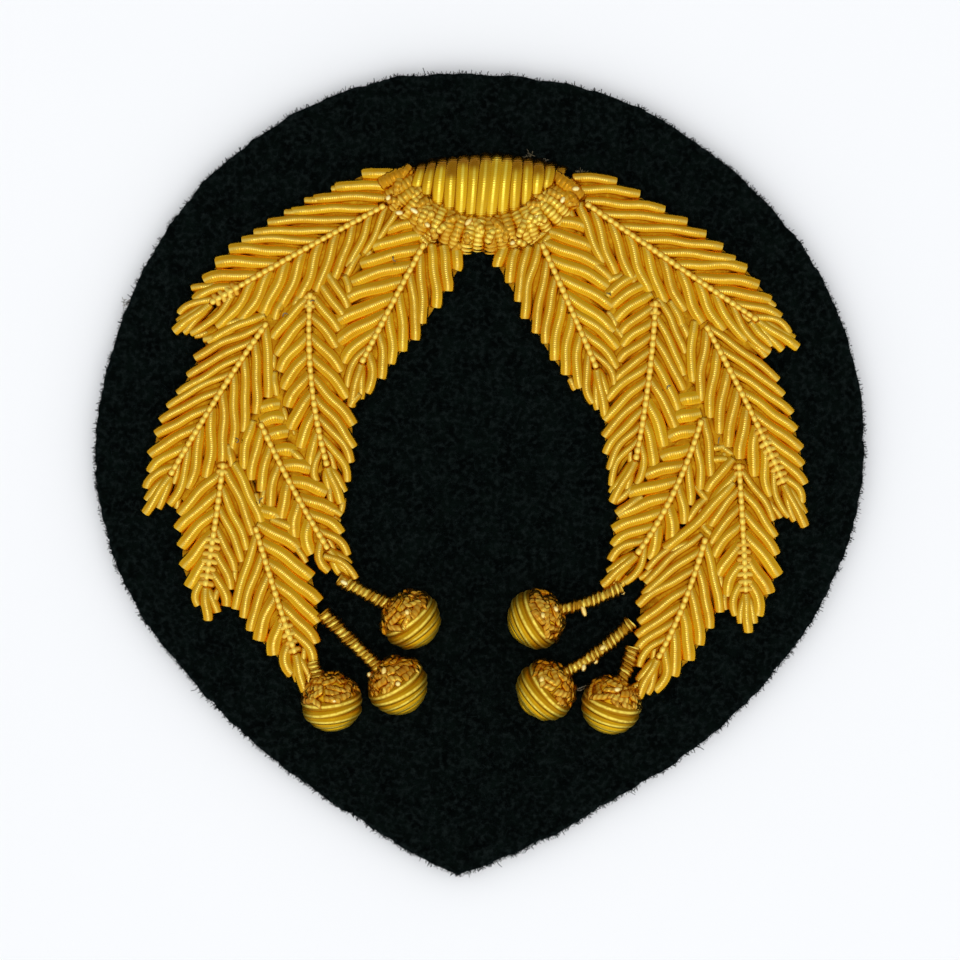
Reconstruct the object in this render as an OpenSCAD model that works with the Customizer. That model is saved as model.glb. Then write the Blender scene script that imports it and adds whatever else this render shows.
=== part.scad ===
/* [Ground] */
// Thickness of the wool felt ground
cloth_t = 2; // [1.2:0.1:3]

/* [Bullion] */
// Width of one laid barb of smooth bullion
barb_w = 1.25; // [1.2:0.05:1.4]
// Diameter of the ridge along the top of each barb
ridge_d = 0.95; // [0.6:0.05:1]
// Height of the padded field under the ridges
field_h = 0.8; // [0.6:0.05:1.2]
// Diameter of the beads of the vein wire
bead_d = 0.95; // [0.8:0.05:1.2]
// Spacing of the beads along the vein
bead_pitch = 0.78; // [0.6:0.02:0.9]
// Clearance between neighbouring pieces
gap = 0.05; // [0.04:0.01:0.1]

/* [Boss] */
// Radius of the arc along the foot of the boss, and of the band round it
boss_foot_r = 8.3; // [8:0.1:8.4]
// Radius of the arc along the top edge of the boss
boss_top_r = 26.8; // [24:0.1:30]
// Height of the boss above the cloth
boss_h = 2.8; // [2:0.1:3.5]
// Number of laid strands over the boss
boss_strands = 15; // [11:1:19]
// Width of the rough band round the foot of the boss
band_w = 3.6; // [3:0.1:3.7]
// Height of the rough band above the cloth
band_h = 1.6; // [1.2:0.1:2]

/* [Berries] */
// Width of the cut across a ball between its rough cap and its wound foot, as a share of its radius
cap_share = 0.1; // [0:0.05:0.3]
// Number of wound rings on each ball
berry_rings = 5; // [3:1:7]
// Diameter of the twisted stems
stem_d = 0.95; // [0.8:0.05:1.1]

/* [Hidden] */
$fn = 32;

gold = "goldenrod";
pale_gold = "khaki";
deep_gold = "darkgoldenrod";

seat = cloth_t + gap;
field_top = seat + field_h;

// Outline of the ground: angle from the right-hand side, distance from the middle of the round head
outline_middle = [0, 1.75];
outline_rows = [
    [-93, 41.9], [-87, 40.2], [-81, 38.8], [-69, 36.8], [-54, 36.2], [-39, 36.3], [-24, 37.1], [-9, 38.0],
    [6, 38.5], [24, 38.6], [42, 38.3], [54, 38.2], [66, 38.4], [90, 38.3], [105, 39.0], [120, 39.1],
    [135, 39.0], [150, 38.6], [165, 38.4], [180, 38.6], [192, 38.2], [204, 37.5], [216, 36.6], [228, 36.4],
    [240, 36.9], [250, 38.0], [258, 39.7], [267, 41.9]
];
outline_steps = 5;

// Leaves: the vein's root, middle, end and the tip beyond it, then for the outer and the inner side
// the number of barbs, the places on the vein (0 root, 1 end) where the first and the last one start,
// and four points that the barbs' ends follow
leaf_rows = [
    [[[-9.4, 26.9], [-18.2, 22.1], [-26.9, 17.1], [-30.6, 14.2]],
        [12, -0.31, 0.96, [[-11.9, 29.9], [-20.4, 25.6], [-25.6, 21.9], [-29.9, 15.9]]],
        [11, -0.10, 0.85, [[-10.2, 23.4], [-15.4, 19.1], [-21.2, 16.1], [-28.9, 14.1]]]],
    [[[-5.5, 23.1], [-8.7, 17.1], [-11.8, 11.1], [-12.9, 6.7]],
        [9, -0.22, 0.85, [[-8.8, 24.2], [-12.3, 19.6], [-14.1, 14.7], [-13.2, 8.7]]],
        [9, -0.42, 0.90, [[-2.5, 20.2], [-5.3, 15.4], [-8.1, 11.8], [-11.2, 8.1]]]],
    [[[-16.9, 18.2], [-16.8, 9.4], [-15.2, 0.8], [-13.8, -3.0]],
        [9, 0.02, 0.90, [[-20.9, 13.4], [-19.9, 9.2], [-18.6, 3.8], [-15.9, -0.9]]],
        [10, -0.22, 0.82, [[-13.2, 16.6], [-14.2, 12.7], [-12.6, 4.8], [-13.2, -0.9]]]],
    [[[-21.2, 15.2], [-25.9, 8.2], [-30.9, -0.1], [-33.5, -4.0]],
        [10, -0.10, 0.95, [[-27.4, 13.2], [-30.2, 8.1], [-32.5, 3.6], [-33.2, -1.6]]],
        [8, 0.03, 0.82, [[-21.2, 7.7], [-23.9, 3.5], [-26.8, 0.2], [-31.1, -3.0]]]],
    [[[-21.9, 5.2], [-18.9, -0.9], [-15.1, -7.5], [-13.2, -9.9]],
        [8, -0.10, 0.92, [[-23.8, 0.5], [-21.4, -2.4], [-19.1, -5.7], [-14.8, -9.8]]],
        [9, -0.12, 0.85, [[-19.9, 7.0], [-18.4, 3.0], [-14.8, -2.5], [-13.2, -8.2]]]],
    [[[-25.6, 1.2], [-26.4, -4.9], [-27.4, -11.2], [-27.1, -14.7]],
        [6, 0.08, 0.90, [[-30.1, -4.0], [-29.9, -6.8], [-29.6, -10.1], [-27.9, -13.2]]],
        [7, -0.14, 0.86, [[-21.8, -4.8], [-23.2, -7.7], [-24.4, -9.9], [-25.4, -13.2]]]],
    [[[-22.4, -5.2], [-20.6, -11.2], [-18.4, -17.9], [-17.4, -21.8]],
        [6, 0.06, 0.90, [[-24.4, -13.3], [-23.1, -15.2], [-21.6, -17.1], [-18.6, -19.9]]],
        [7, -0.20, 0.80, [[-20.1, -4.5], [-16.6, -10.3], [-16.1, -14.9], [-16.6, -19.1]]]],
    [[[10.6, 27.1], [19.2, 21.2], [27.8, 15.4], [31.9, 12.6]],
        [12, -0.24, 0.96, [[13.8, 29.1], [21.9, 24.2], [26.9, 19.9], [31.1, 14.2]]],
        [10, -0.05, 0.85, [[12.2, 21.2], [17.1, 18.1], [22.4, 15.1], [29.1, 12.2]]]],
    [[[6.2, 23.1], [8.9, 17.1], [11.7, 10.6], [12.6, 5.7]],
        [9, -0.30, 0.85, [[10.2, 24.4], [11.7, 19.4], [13.8, 13.9], [13.3, 8.7]]],
        [10, -0.48, 0.88, [[2.0, 20.6], [4.8, 15.6], [7.5, 11.2], [11.3, 7.0]]]],
    [[[17.6, 17.4], [16.9, 9.4], [15.6, 1.4], [13.2, -2.9]],
        [8, -0.04, 0.88, [[20.6, 11.9], [20.2, 7.5], [18.9, 3.2], [15.8, -1.2]]],
        [13, -0.24, 0.86, [[12.5, 17.8], [14.2, 12.9], [12.7, 5.5], [13.2, -1.2]]]],
    [[[22.6, 14.9], [26.9, 6.7], [30.4, -0.9], [32.6, -5.3]],
        [8, 0.00, 0.93, [[29.8, 9.4], [31.4, 5.5], [32.4, 1.4], [32.5, -3.0]]],
        [9, -0.10, 0.85, [[21.1, 9.1], [23.6, 4.5], [26.4, 0.8], [30.8, -4.2]]]],
    [[[22.2, 5.5], [19.4, -1.8], [15.7, -8.0], [12.2, -11.2]],
        [7, -0.03, 0.90, [[23.1, -0.2], [21.1, -3.2], [19.1, -6.8], [14.2, -10.8]]],
        [10, -0.16, 0.88, [[20.1, 7.2], [17.9, 1.7], [13.7, -4.0], [13.2, -8.8]]]],
    [[[25.9, 1.1], [26.3, -5.3], [26.6, -11.8], [26.9, -15.9]],
        [6, 0.03, 0.88, [[29.6, -4.7], [29.8, -7.5], [29.6, -10.8], [27.9, -14.2]]],
        [8, -0.08, 0.88, [[22.6, -1.9], [23.1, -5.8], [23.8, -9.4], [25.6, -14.2]]]],
    [[[22.6, -6.3], [20.4, -12.9], [17.8, -18.4], [15.8, -22.4]],
        [6, 0.03, 0.88, [[23.8, -13.9], [22.4, -16.6], [20.4, -19.4], [17.4, -21.6]]],
        [7, -0.10, 0.80, [[16.9, -10.8], [16.1, -12.9], [15.8, -15.9], [15.8, -19.4]]]]
];

// Which earlier leaves each leaf gives way to where they meet
leaf_neighbours = [
    [], [0], [0, 1], [0, 2], [2, 3], [3, 4], [4, 5],
    [], [7], [7, 8], [7, 9], [9, 10], [10, 11], [11, 12]
];

// Berries: middle of the ball, radius, direction of its free end, and the stem's points from leaf to ball
berry_rows = [
    [[-7.0, -14.6], 2.95, -50, [[-12.9, -11.1], [-11.2, -11.8], [-8.8, -12.8]]],
    [[-8.2, -21.1], 3.00, -62, [[-15.1, -14.1], [-13.1, -16.2], [-10.2, -19.1]]],
    [[-14.8, -22.9], 3.00, -80, [[-15.4, -18.5], [-15.4, -19.5], [-15.3, -20.6]]],
    [[5.8, -14.3], 3.00, -153, [[12.6, -12.4], [10.6, -12.9], [8.2, -13.6]]],
    [[6.8, -21.4], 3.05, -140, [[14.8, -15.1], [12.2, -17.4], [8.8, -19.6]]],
    [[13.3, -22.9], 3.00, -110, [[14.5, -17.6], [14.4, -19.0], [13.9, -20.8]]]
];

// Which balls each leaf gives way to
leaf_balls = [[], [], [], [], [], [], [2], [], [], [], [], [], [], [5]];

// Middle of the arcs round the boss's foot, and the places of its axis and its top edge
boss_middle = [0.4, 34.3];
boss_axis_y = 29.2;
boss_top_y = 31.8;
boss_half_w = 8;
boss_end_h = 1.4;
band_span = 128;
band_clear = 0.15;
band_r = boss_foot_r + band_clear + band_w / 2;

// Share of each barb's length that a leaf's field reaches, how far the middle of a barb's round end lies
// back from its tip as a share of its width, the depth its ridges sink, and their overrun
field_share = 0.6;
end_share = 0.3;
ridge_sink = 0.12;
ridge_over = 0.1;

// Sides of the ridges, which have an edge on top, and of the barbs' round ends
ridge_sides = 8;
end_sides = 12;

// A barb that would start before the root starts later along itself, by this rate and at most this share
late_rate = 1.9;
late_limit = 0.85;

// Rise of the strands over the core of the boss and the balls, and their width as a share of their pitch
strand_rise = 0.3;
strand_share = 1.08;

// Height of a ball's middle above the cloth, the rough cap's inset, and the extra width of a stem's bends
ball_lift = 0.4;
cap_inset = 0.1;
stem_lump = 0.1;

// Half the size of the blocks that cut pieces off, larger than any piece
reach = 50;

// Straight parts of each vein's strip, its width, and the first leaf of the right-hand branch
vein_parts = 4;
vein_strip = 2.4;
right_leaf = 7;

function mix(a, b, t) = a + (b - a) * t;
function turn(v) = atan2(v[1], v[0]);
function through3(p, u) = 2 * (u - 0.5) * (u - 1) * p[0] + 4 * u * (1 - u) * p[1] + 2 * u * (u - 0.5) * p[2];

// From a to b by t, leaving and arriving with the given slopes
function smooth(a, b, before, after, t) =
    (2 * t ^ 3 - 3 * t ^ 2 + 1) * a + (t ^ 3 - 2 * t ^ 2 + t) * before
    + (3 * t ^ 2 - 2 * t ^ 3) * b + (t ^ 3 - t ^ 2) * after;
function through4(p, u) =
    let (
        i = min(2, floor(3 * u)),
        before = i == 0 ? p[1] - p[0] : (p[i + 1] - p[i - 1]) / 2,
        after = i == 2 ? p[3] - p[2] : (p[i + 2] - p[i]) / 2
    )
    smooth(p[i], p[i + 1], before, after, 3 * u - i);

// Start and end of each barb on one side of a leaf: a barb that would start before the root starts late
function side_barbs(vein, side) = [
    for (i = [0 : side[0] - 1])
        let (
            u = i / (side[0] - 1),
            place = mix(side[1], side[2], u),
            root = through3(vein, place),
            end = through4(side[3], u),
            late = min(late_limit, late_rate * max(0, -place))
        )
        [mix(root, end, late), end]
];
function tip_barb(vein) = [vein[2], vein[3]];
function backwards(list) = [for (i = [len(list) - 1 : -1 : 0]) list[i]];
function leaf_barbs(row) =
    concat(side_barbs(row[0], row[1]), [tip_barb(row[0])], backwards(side_barbs(row[0], row[2])));

function smooth_radius(i, t) =
    let (
        last = len(outline_rows) - 1,
        a = outline_rows[i][1],
        b = outline_rows[i + 1][1],
        before = i == 0 ? b - a : (b - outline_rows[i - 1][1]) / 2,
        after = i == last - 1 ? b - a : (outline_rows[i + 2][1] - a) / 2
    )
    smooth(a, b, before, after, t);
outline_points = [
    for (i = [0 : len(outline_rows) - 2], s = [0 : outline_steps - 1])
        let (
            t = s / outline_steps,
            angle = mix(outline_rows[i][0], outline_rows[i + 1][0], t),
            radius = smooth_radius(i, t)
        )
        outline_middle + radius * [cos(angle), sin(angle)]
];
outline_x = [for (p = outline_points) p[0]];
outline_y = [for (p = outline_points) p[1]];
outline_shift = -[max(outline_x) + min(outline_x), max(outline_y) + min(outline_y)] / 2;

module backing_cloth() {
    color([0.03, 0.05, 0.06])
        linear_extrude(cloth_t)
            translate(outline_shift)
                polygon(outline_points);
}

module strand_plan(a, b, w) {
    translate(a)
        rotate(turn(b - a)) {
            translate([0, -w / 2])
                square([norm(b - a), w]);
            translate([norm(b - a), 0])
                circle(d = w, $fn = end_sides);
        }
}

module vein_plan(k, w) {
    vein = leaf_rows[k][0];
    for (i = [0 : vein_parts - 1])
        strand_plan(through3(vein, i / vein_parts), through3(vein, (i + 1) / vein_parts), w);
}

// Outline of a leaf: the field between the barbs, the strip under the vein, and each barb's round end
module leaf_plan(k, grow = 0) {
    barbs = leaf_barbs(leaf_rows[k]);
    field = [for (b = barbs) mix(b[0], b[1], field_share)];
    polygon(k < right_leaf ? field : backwards(field));
    vein_plan(k, vein_strip);
    for (b = barbs)
        let (back = end_share * barb_w * (b[1] - b[0]) / norm(b[1] - b[0]))
            strand_plan(b[0], b[1] - back, barb_w + 2 * grow);
}

module band_plan(grow = 0) {
    translate(boss_middle)
        difference() {
            circle(r = band_r + band_w / 2 + grow);
            circle(r = band_r - band_w / 2 - grow);
            polygon(concat(
                [[0, 0]],
                [for (i = [0 : 4])
                    let (a = mix(band_span / 2 - 90, 270 - band_span / 2, i / 4))
                    reach * [cos(a), sin(a)]]
            ));
        }
}

module ball_plan(b, grow = 0) {
    translate(berry_rows[b][0])
        circle(r = berry_rows[b][1] + grow);
}

module leaf_trimmed(k) {
    difference() {
        leaf_plan(k);
        for (n = leaf_neighbours[k])
            leaf_plan(n, gap);
        band_plan(gap);
        for (b = leaf_balls[k])
            ball_plan(b, gap);
    }
}

// A leaf with channels between its ridges for its own vein and for the root of the next leaf's
module leaf(k) {
    color(gold)
        difference() {
            intersection() {
                translate([0, 0, seat])
                    linear_extrude(field_h + ridge_d)
                        leaf_trimmed(k);
                union() {
                    translate([-reach, -reach, 0])
                        cube([2 * reach, 2 * reach, field_top]);
                    for (b = leaf_barbs(leaf_rows[k]))
                        translate([b[0][0], b[0][1], field_top - ridge_sink])
                            rotate([0, 90, turn(b[1] - b[0])])
                                cylinder(d = ridge_d, h = norm(b[1] - b[0]) + ridge_over, $fn = ridge_sides);
                }
            }
            translate([0, 0, field_top])
                linear_extrude(ridge_d)
                    for (n = [k : min(k + 1, len(leaf_rows) - 1)])
                        vein_plan(n, bead_d + 2 * gap);
        }
}

// A row of beads, each with its own axis, its local Z, along the vein
module vein(k) {
    vein = leaf_rows[k][0];
    beads = floor(norm(vein[2] - vein[0]) / bead_pitch);
    color(pale_gold)
        for (i = [1 : beads])
            let (before = through3(vein, (i - 1) / beads), place = through3(vein, i / beads))
                translate([place[0], place[1], field_top + gap + bead_d / 2])
                    rotate([0, 90, turn(place - before)])
                        sphere(d = bead_d);
}

function boss_radius(x) = boss_h - (boss_h - boss_end_h) * (x / boss_half_w) ^ 2;
function strand_w(pitch) = strand_share * pitch;

// Half a barrel laid on the cloth, with a rounded strand at each step along it
module boss_barrel() {
    pitch = 2 * boss_half_w / boss_strands;
    places = [for (i = [0 : boss_strands - 1]) (i + 0.5) * pitch - boss_half_w];
    rotate([0, 90, 0])
        rotate([0, 0, 90])
            rotate_extrude(angle = 180) {
                polygon(concat(
                    [[0, -boss_half_w]],
                    [for (x = places) [boss_radius(x) - strand_rise, x]],
                    [[0, boss_half_w]]
                ));
                for (x = places)
                    translate([boss_radius(x) - strand_w(pitch) / 2, x])
                        circle(d = strand_w(pitch));
            }
}

module boss() {
    color(gold)
        intersection() {
            translate([boss_middle[0], boss_axis_y, seat])
                boss_barrel();
            translate([0, 0, seat])
                linear_extrude(reach)
                    intersection() {
                        translate(boss_middle)
                            circle(r = boss_foot_r);
                        translate([boss_middle[0], boss_top_y - boss_top_r])
                            circle(r = boss_top_r);
                    }
        }
}

module boss_band() {
    crown_r = (band_w ^ 2 / 4 + band_h ^ 2) / (2 * band_h);
    color(deep_gold)
        translate([boss_middle[0], boss_middle[1], seat])
            rotate([0, 0, 270 - band_span / 2])
                rotate_extrude(angle = band_span)
                    translate([band_r, 0])
                        intersection() {
                            translate([0, band_h - crown_r])
                                circle(r = crown_r);
                            translate([-band_w / 2, 0])
                                square([band_w, band_h]);
                        }
}

// Puts a ball's own axis, its local Z, along the direction of its free end and cuts it flat on the cloth
module lay_ball(b) {
    row = berry_rows[b];
    intersection() {
        translate([row[0][0], row[0][1], seat + ball_lift])
            rotate([0, 90, row[2]])
                children();
        translate([-reach, -reach, seat])
            cube([2 * reach, 2 * reach, reach]);
    }
}

module half_disc(r, low, high) {
    intersection() {
        circle(r = r);
        translate([0, low])
            square([r, high - low]);
    }
}

// Wound foot of a ball: a smooth core with a rounded ring at each step along its axis
module berry(b) {
    r = berry_rows[b][1];
    low = -cap_share * r;
    pitch = (r - low) / berry_rings;
    color(gold)
        lay_ball(b)
            rotate_extrude() {
                half_disc(r - strand_rise, low, r);
                intersection() {
                    for (i = [0 : berry_rings - 1])
                        let (z = low + (i + 0.5) * pitch)
                            translate([sqrt(r ^ 2 - z ^ 2) - strand_w(pitch) / 2, z])
                                circle(d = strand_w(pitch));
                    translate([0, low])
                        square([r, r - low]);
                }
            }
}

module cap(b) {
    r = berry_rows[b][1];
    color(deep_gold)
        lay_ball(b)
            rotate_extrude()
                half_disc(r - cap_inset, -r, -cap_share * r - gap);
}

// Straight parts from leaf to ball, with a lump at each start, whose own axis lies along its part
module stem(b) {
    row = berry_rows[b];
    route = row[3];
    color(gold)
        difference() {
            for (i = [0 : len(route) - 2])
                translate([route[i][0], route[i][1], seat + (stem_d + stem_lump) / 2])
                    rotate([0, 90, turn(route[i + 1] - route[i])]) {
                        sphere(d = stem_d + stem_lump);
                        cylinder(d = stem_d, h = norm(route[i + 1] - route[i]));
                    }
            translate([row[0][0], row[0][1], seat + ball_lift])
                sphere(r = row[1] + gap);
        }
}

backing_cloth();
boss();
boss_band();
leaf(0);  // leaf_left_1
leaf(1);  // leaf_left_2
leaf(2);  // leaf_left_3
leaf(3);  // leaf_left_4
leaf(4);  // leaf_left_5
leaf(5);  // leaf_left_6
leaf(6);  // leaf_left_7
leaf(7);  // leaf_right_1
leaf(8);  // leaf_right_2
leaf(9);  // leaf_right_3
leaf(10);  // leaf_right_4
leaf(11);  // leaf_right_5
leaf(12);  // leaf_right_6
leaf(13);  // leaf_right_7
vein(0);  // vein_left_1
vein(1);  // vein_left_2
vein(2);  // vein_left_3
vein(3);  // vein_left_4
vein(4);  // vein_left_5
vein(5);  // vein_left_6
vein(6);  // vein_left_7
vein(7);  // vein_right_1
vein(8);  // vein_right_2
vein(9);  // vein_right_3
vein(10);  // vein_right_4
vein(11);  // vein_right_5
vein(12);  // vein_right_6
vein(13);  // vein_right_7
berry(0);  // berry_left_1
berry(1);  // berry_left_2
berry(2);  // berry_left_3
berry(3);  // berry_right_1
berry(4);  // berry_right_2
berry(5);  // berry_right_3
cap(0);  // cap_left_1
cap(1);  // cap_left_2
cap(2);  // cap_left_3
cap(3);  // cap_right_1
cap(4);  // cap_right_2
cap(5);  // cap_right_3
stem(0);  // stem_left_1
stem(1);  // stem_left_2
stem(2);  // stem_left_3
stem(3);  // stem_right_1
stem(4);  // stem_right_2
stem(5);  // stem_right_3
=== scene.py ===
import math
import random

import bpy
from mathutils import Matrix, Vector, noise


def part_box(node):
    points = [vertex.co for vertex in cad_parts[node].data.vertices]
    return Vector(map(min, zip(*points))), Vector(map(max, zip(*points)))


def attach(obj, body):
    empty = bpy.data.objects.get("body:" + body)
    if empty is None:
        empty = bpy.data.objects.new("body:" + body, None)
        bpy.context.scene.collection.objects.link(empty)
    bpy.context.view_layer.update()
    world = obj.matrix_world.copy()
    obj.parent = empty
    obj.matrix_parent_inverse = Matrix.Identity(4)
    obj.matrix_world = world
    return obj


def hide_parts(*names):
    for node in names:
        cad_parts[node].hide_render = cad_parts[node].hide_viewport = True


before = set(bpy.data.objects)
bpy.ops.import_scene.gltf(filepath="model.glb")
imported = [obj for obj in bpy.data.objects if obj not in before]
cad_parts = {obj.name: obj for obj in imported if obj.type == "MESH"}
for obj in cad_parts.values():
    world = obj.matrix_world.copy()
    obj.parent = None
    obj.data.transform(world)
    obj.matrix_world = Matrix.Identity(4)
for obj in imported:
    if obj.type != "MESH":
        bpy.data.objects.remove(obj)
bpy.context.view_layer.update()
print("frame loaded")

mm = 0.001  # the badge's tables are in millimetres, and the studio's in metres
clothTop = 2.0
up = Vector((0, 0, 1))
plainTone = 0.5
plainWound = (0.5, 0.0)  # the top of a wire, where no flank colour falls


def mix(a, b, t):
    return a + (b - a) * t


def ease(t):
    t = min(1.0, max(0.0, t))
    return t * t * (3 - 2 * t)


def shares(steps, first=0.0, last=1.0):
    # even steps from the first value to the last, both included
    return [mix(first, last, s / steps) for s in range(steps + 1)]


def ridged(along, pitch, sharp):
    # 1 in the middle of every bead, rib or turn along a wire, and 0 between them
    return abs(math.sin(math.pi * along / pitch)) ** sharp


def flat(point, z=0.0):
    return Vector((point[0], point[1], z))


def towards(turn):
    # the level direction at an angle from the right-hand side
    return Vector((math.cos(turn), math.sin(turn), 0))


def layered(p, layers):
    # noise of several scales: how often each comes, and its share
    return sum(noise.noise(p * often) * share for often, share in layers)


def throughThree(p, u):
    # a smooth line through three points, at 0, a half and 1
    a, b, c = 2 * (u - 0.5) * (u - 1), 4 * u * (1 - u), 2 * u * (u - 0.5)
    return flat(p[0]) * a + flat(p[1]) * b + flat(p[2]) * c


def smoothStep(a, b, before, after, t):
    # from a to b by t, leaving and arriving with the given slopes
    return a * (2 * t ** 3 - 3 * t ** 2 + 1) + before * (t ** 3 - 2 * t ** 2 + t) \
        + b * (3 * t ** 2 - 2 * t ** 3) + after * (t ** 3 - t ** 2)


def throughFour(p, u):
    # a smooth line through four points, at 0, a third, two thirds and 1
    p = [flat(q) for q in p]
    i = min(2, int(3 * u))
    before = p[1] - p[0] if i == 0 else (p[i + 1] - p[i - 1]) / 2
    after = p[3] - p[2] if i == 2 else (p[i + 2] - p[i]) / 2
    return smoothStep(p[i], p[i + 1], before, after, 3 * u - i)


# camera straight above, as the badge lies in the picture
photoView = {
    "across": 96.0, "middle": (0.05, -0.55, 2.5), "distance": 500.0, "sensor": 36.0, "clip": (10.0, 10000.0),
}
cameraData = bpy.data.cameras.new("photoCamera")
cameraData.sensor_width = photoView["sensor"]
cameraData.lens = photoView["sensor"] * photoView["distance"] / photoView["across"]
cameraData.clip_start, cameraData.clip_end = [distance * mm for distance in photoView["clip"]]
camera = bpy.data.objects.new("photoCamera", cameraData)
camera.location = Vector(photoView["middle"]) * mm + Vector((0, 0, photoView["distance"] * mm))
bpy.context.scene.collection.objects.link(camera)
bpy.context.scene.camera = camera


# strands: every wire, fibre and thread is a tube along a path
def newWork():
    return {"points": [], "faces": [], "wound": [], "tone": []}


def addTube(work, path, radius, side=None, sides=12, tone=plainTone, shape=None):
    # side is the tube's own sideways direction, or a list with one for each point
    # where it isn't given, it's worked out from straight up
    points, faces, wound, tones = work["points"], work["faces"], work["wound"], work["tone"]
    first, rings, along = len(points), len(path), 0.0
    runs = []
    for i, centre in enumerate(path):
        if i:
            along += (centre - path[i - 1]).length
        runs.append(along)
        ahead = (path[min(i + 1, rings - 1)] - path[max(i - 1, 0)]).normalized()
        given = side[i] if isinstance(side, list) else side
        sideways = (given if given else up.cross(ahead)).normalized()
        lift = ahead.cross(sideways)
        size = radius[i] if isinstance(radius, list) else radius
        shade = tone(along) if callable(tone) else tone
        for j in range(sides):
            angle = math.tau * (j / sides - 0.5)
            reach = size * (shape(along, angle) if shape else 1.0)
            points.append(centre + (lift * math.cos(angle) + sideways * math.sin(angle)) * reach)
            tones.append(shade)
    for i in range(rings - 1):
        for j in range(sides):
            a, b = first + i * sides + j, first + i * sides + (j + 1) % sides
            faces.append((a, b, b + sides, a + sides))
            wound += [(j / sides, runs[i]), ((j + 1) / sides, runs[i])]
            wound += [((j + 1) / sides, runs[i + 1]), (j / sides, runs[i + 1])]
    for ring, order in ((0, -1), (rings - 1, 1)):
        last = [first + ring * sides + j for j in range(sides)]
        faces.append(tuple(last[::order]))
        wound += [(j / sides, runs[ring]) for j in range(sides)[::order]]


def addSlab(work, grid, bottom):
    # a closed pad: a grid of top points, with its sides going straight down to one level
    points, faces = work["points"], work["faces"]
    rows, columns, first = len(grid), len(grid[0]), len(points)
    count = rows * columns
    for row in grid:
        points += row
    for row in grid:
        points += [flat(p, bottom) for p in row]
    work["tone"] += [plainTone] * (2 * count)

    def face(corners):
        faces.append(corners)
        work["wound"] += [plainWound] * len(corners)

    for i in range(rows - 1):
        for j in range(columns - 1):
            a = first + i * columns + j
            top = (a, a + 1, a + columns + 1, a + columns)
            face(top)
            face(tuple(v + count for v in reversed(top)))
    edge = [(0, j) for j in range(columns)] + [(i, columns - 1) for i in range(1, rows)]
    edge += [(rows - 1, j) for j in range(columns - 2, -1, -1)] + [(i, 0) for i in range(rows - 2, 0, -1)]
    loop = [first + i * columns + j for i, j in edge]
    for a, b in zip(loop, loop[1:] + loop[:1]):
        face((b, a, a + count, b + count))


def makePiece(name, work, material, nodes=()):
    mesh = bpy.data.meshes.new(name)
    mesh.from_pydata([p * mm for p in work["points"]], [], work["faces"])
    layer = mesh.uv_layers.new(name="wound")
    layer.data.foreach_set("uv", [value for pair in work["wound"] for value in pair])
    attribute = mesh.attributes.new("tone", "FLOAT", "POINT")
    attribute.data.foreach_set("value", work["tone"])
    mesh.polygons.foreach_set("use_smooth", [True] * len(mesh.polygons))
    mesh.materials.append(material)
    mesh.update()
    piece = bpy.data.objects.new(name, mesh)
    bpy.context.scene.collection.objects.link(piece)
    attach(piece, "root")
    if nodes:
        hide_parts(*nodes)
    return piece


# shader groups, whose sockets all hold plain numbers
def newGroup(name, inputs, outputs):
    group = bpy.data.node_groups.new(name, "ShaderNodeTree")
    for label, value in inputs.items():
        socket = group.interface.new_socket(name=label, in_out="INPUT", socket_type="NodeSocketFloat")
        socket.default_value = value
    for label in outputs:
        group.interface.new_socket(name=label, in_out="OUTPUT", socket_type="NodeSocketFloat")
    return group, group.nodes.new("NodeGroupInput"), group.nodes.new("NodeGroupOutput")


def feed(tree, socket, value):
    # a link where the value comes out of another node, otherwise a fixed value
    if isinstance(value, bpy.types.NodeSocket):
        tree.links.new(value, socket)
    else:
        socket.default_value = value


def mathNode(tree, operation, *values, clamp=False):
    node = tree.nodes.new("ShaderNodeMath")
    node.operation = operation
    node.use_clamp = clamp
    for socket, value in zip(node.inputs, values):
        feed(tree, socket, value)
    return node.outputs[0]


def mixColour(tree, mask, first, second):
    node = tree.nodes.new("ShaderNodeMix")
    node.data_type = "RGBA"
    for number, value in ((0, mask), (6, first), (7, second)):
        feed(tree, node.inputs[number], value)
    return node.outputs[2]


def noiseNode(tree, scale, detail=3.0, roughness=0.55):
    node = tree.nodes.new("ShaderNodeTexNoise")
    node.inputs["Detail"].default_value = detail
    node.inputs["Roughness"].default_value = roughness
    feed(tree, node.inputs["Scale"], scale)
    tree.links.new(tree.nodes.new("ShaderNodeTexCoord").outputs["Object"], node.inputs["Vector"])
    return node.outputs["Fac"]


def rampNode(tree, value, low, high):
    # black up to the first place and white from the second
    node = tree.nodes.new("ShaderNodeValToRGB")
    for element, place, level in zip(node.color_ramp.elements, (low, high), (0, 1)):
        element.position = place
        element.color = (level, level, level, 1)
    tree.links.new(value, node.inputs[0])
    return node.outputs[0]


coilShape = {"turn": 0.2, "sharp": 0.6}


def makeCoilGroup():
    # the turns of a wound wire: Turn is the width of one turn in millimetres
    group, given, out = newGroup("coilTurns", {"Turn": coilShape["turn"]}, ["Height", "Top"])
    uv = group.nodes.new("ShaderNodeUVMap")
    uv.uv_map = "wound"
    parts = group.nodes.new("ShaderNodeSeparateXYZ")
    group.links.new(uv.outputs[0], parts.inputs[0])
    around, along = parts.outputs[0], parts.outputs[1]
    turns = mathNode(group, "ADD", mathNode(group, "DIVIDE", along, given.outputs["Turn"]), around)
    wave = mathNode(group, "ABSOLUTE", mathNode(group, "SINE", mathNode(group, "MULTIPLY", turns, math.pi)))
    group.links.new(mathNode(group, "POWER", wave, coilShape["sharp"]), out.inputs["Height"])
    # Top is 1 along the top of the wire and 0 underneath
    angle = mathNode(group, "MULTIPLY", mathNode(group, "SUBTRACT", around, 0.5), math.tau)
    top = mathNode(group, "MULTIPLY_ADD", mathNode(group, "COSINE", angle), 0.5, 0.5)
    group.links.new(top, out.inputs["Top"])
    return group


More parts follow.
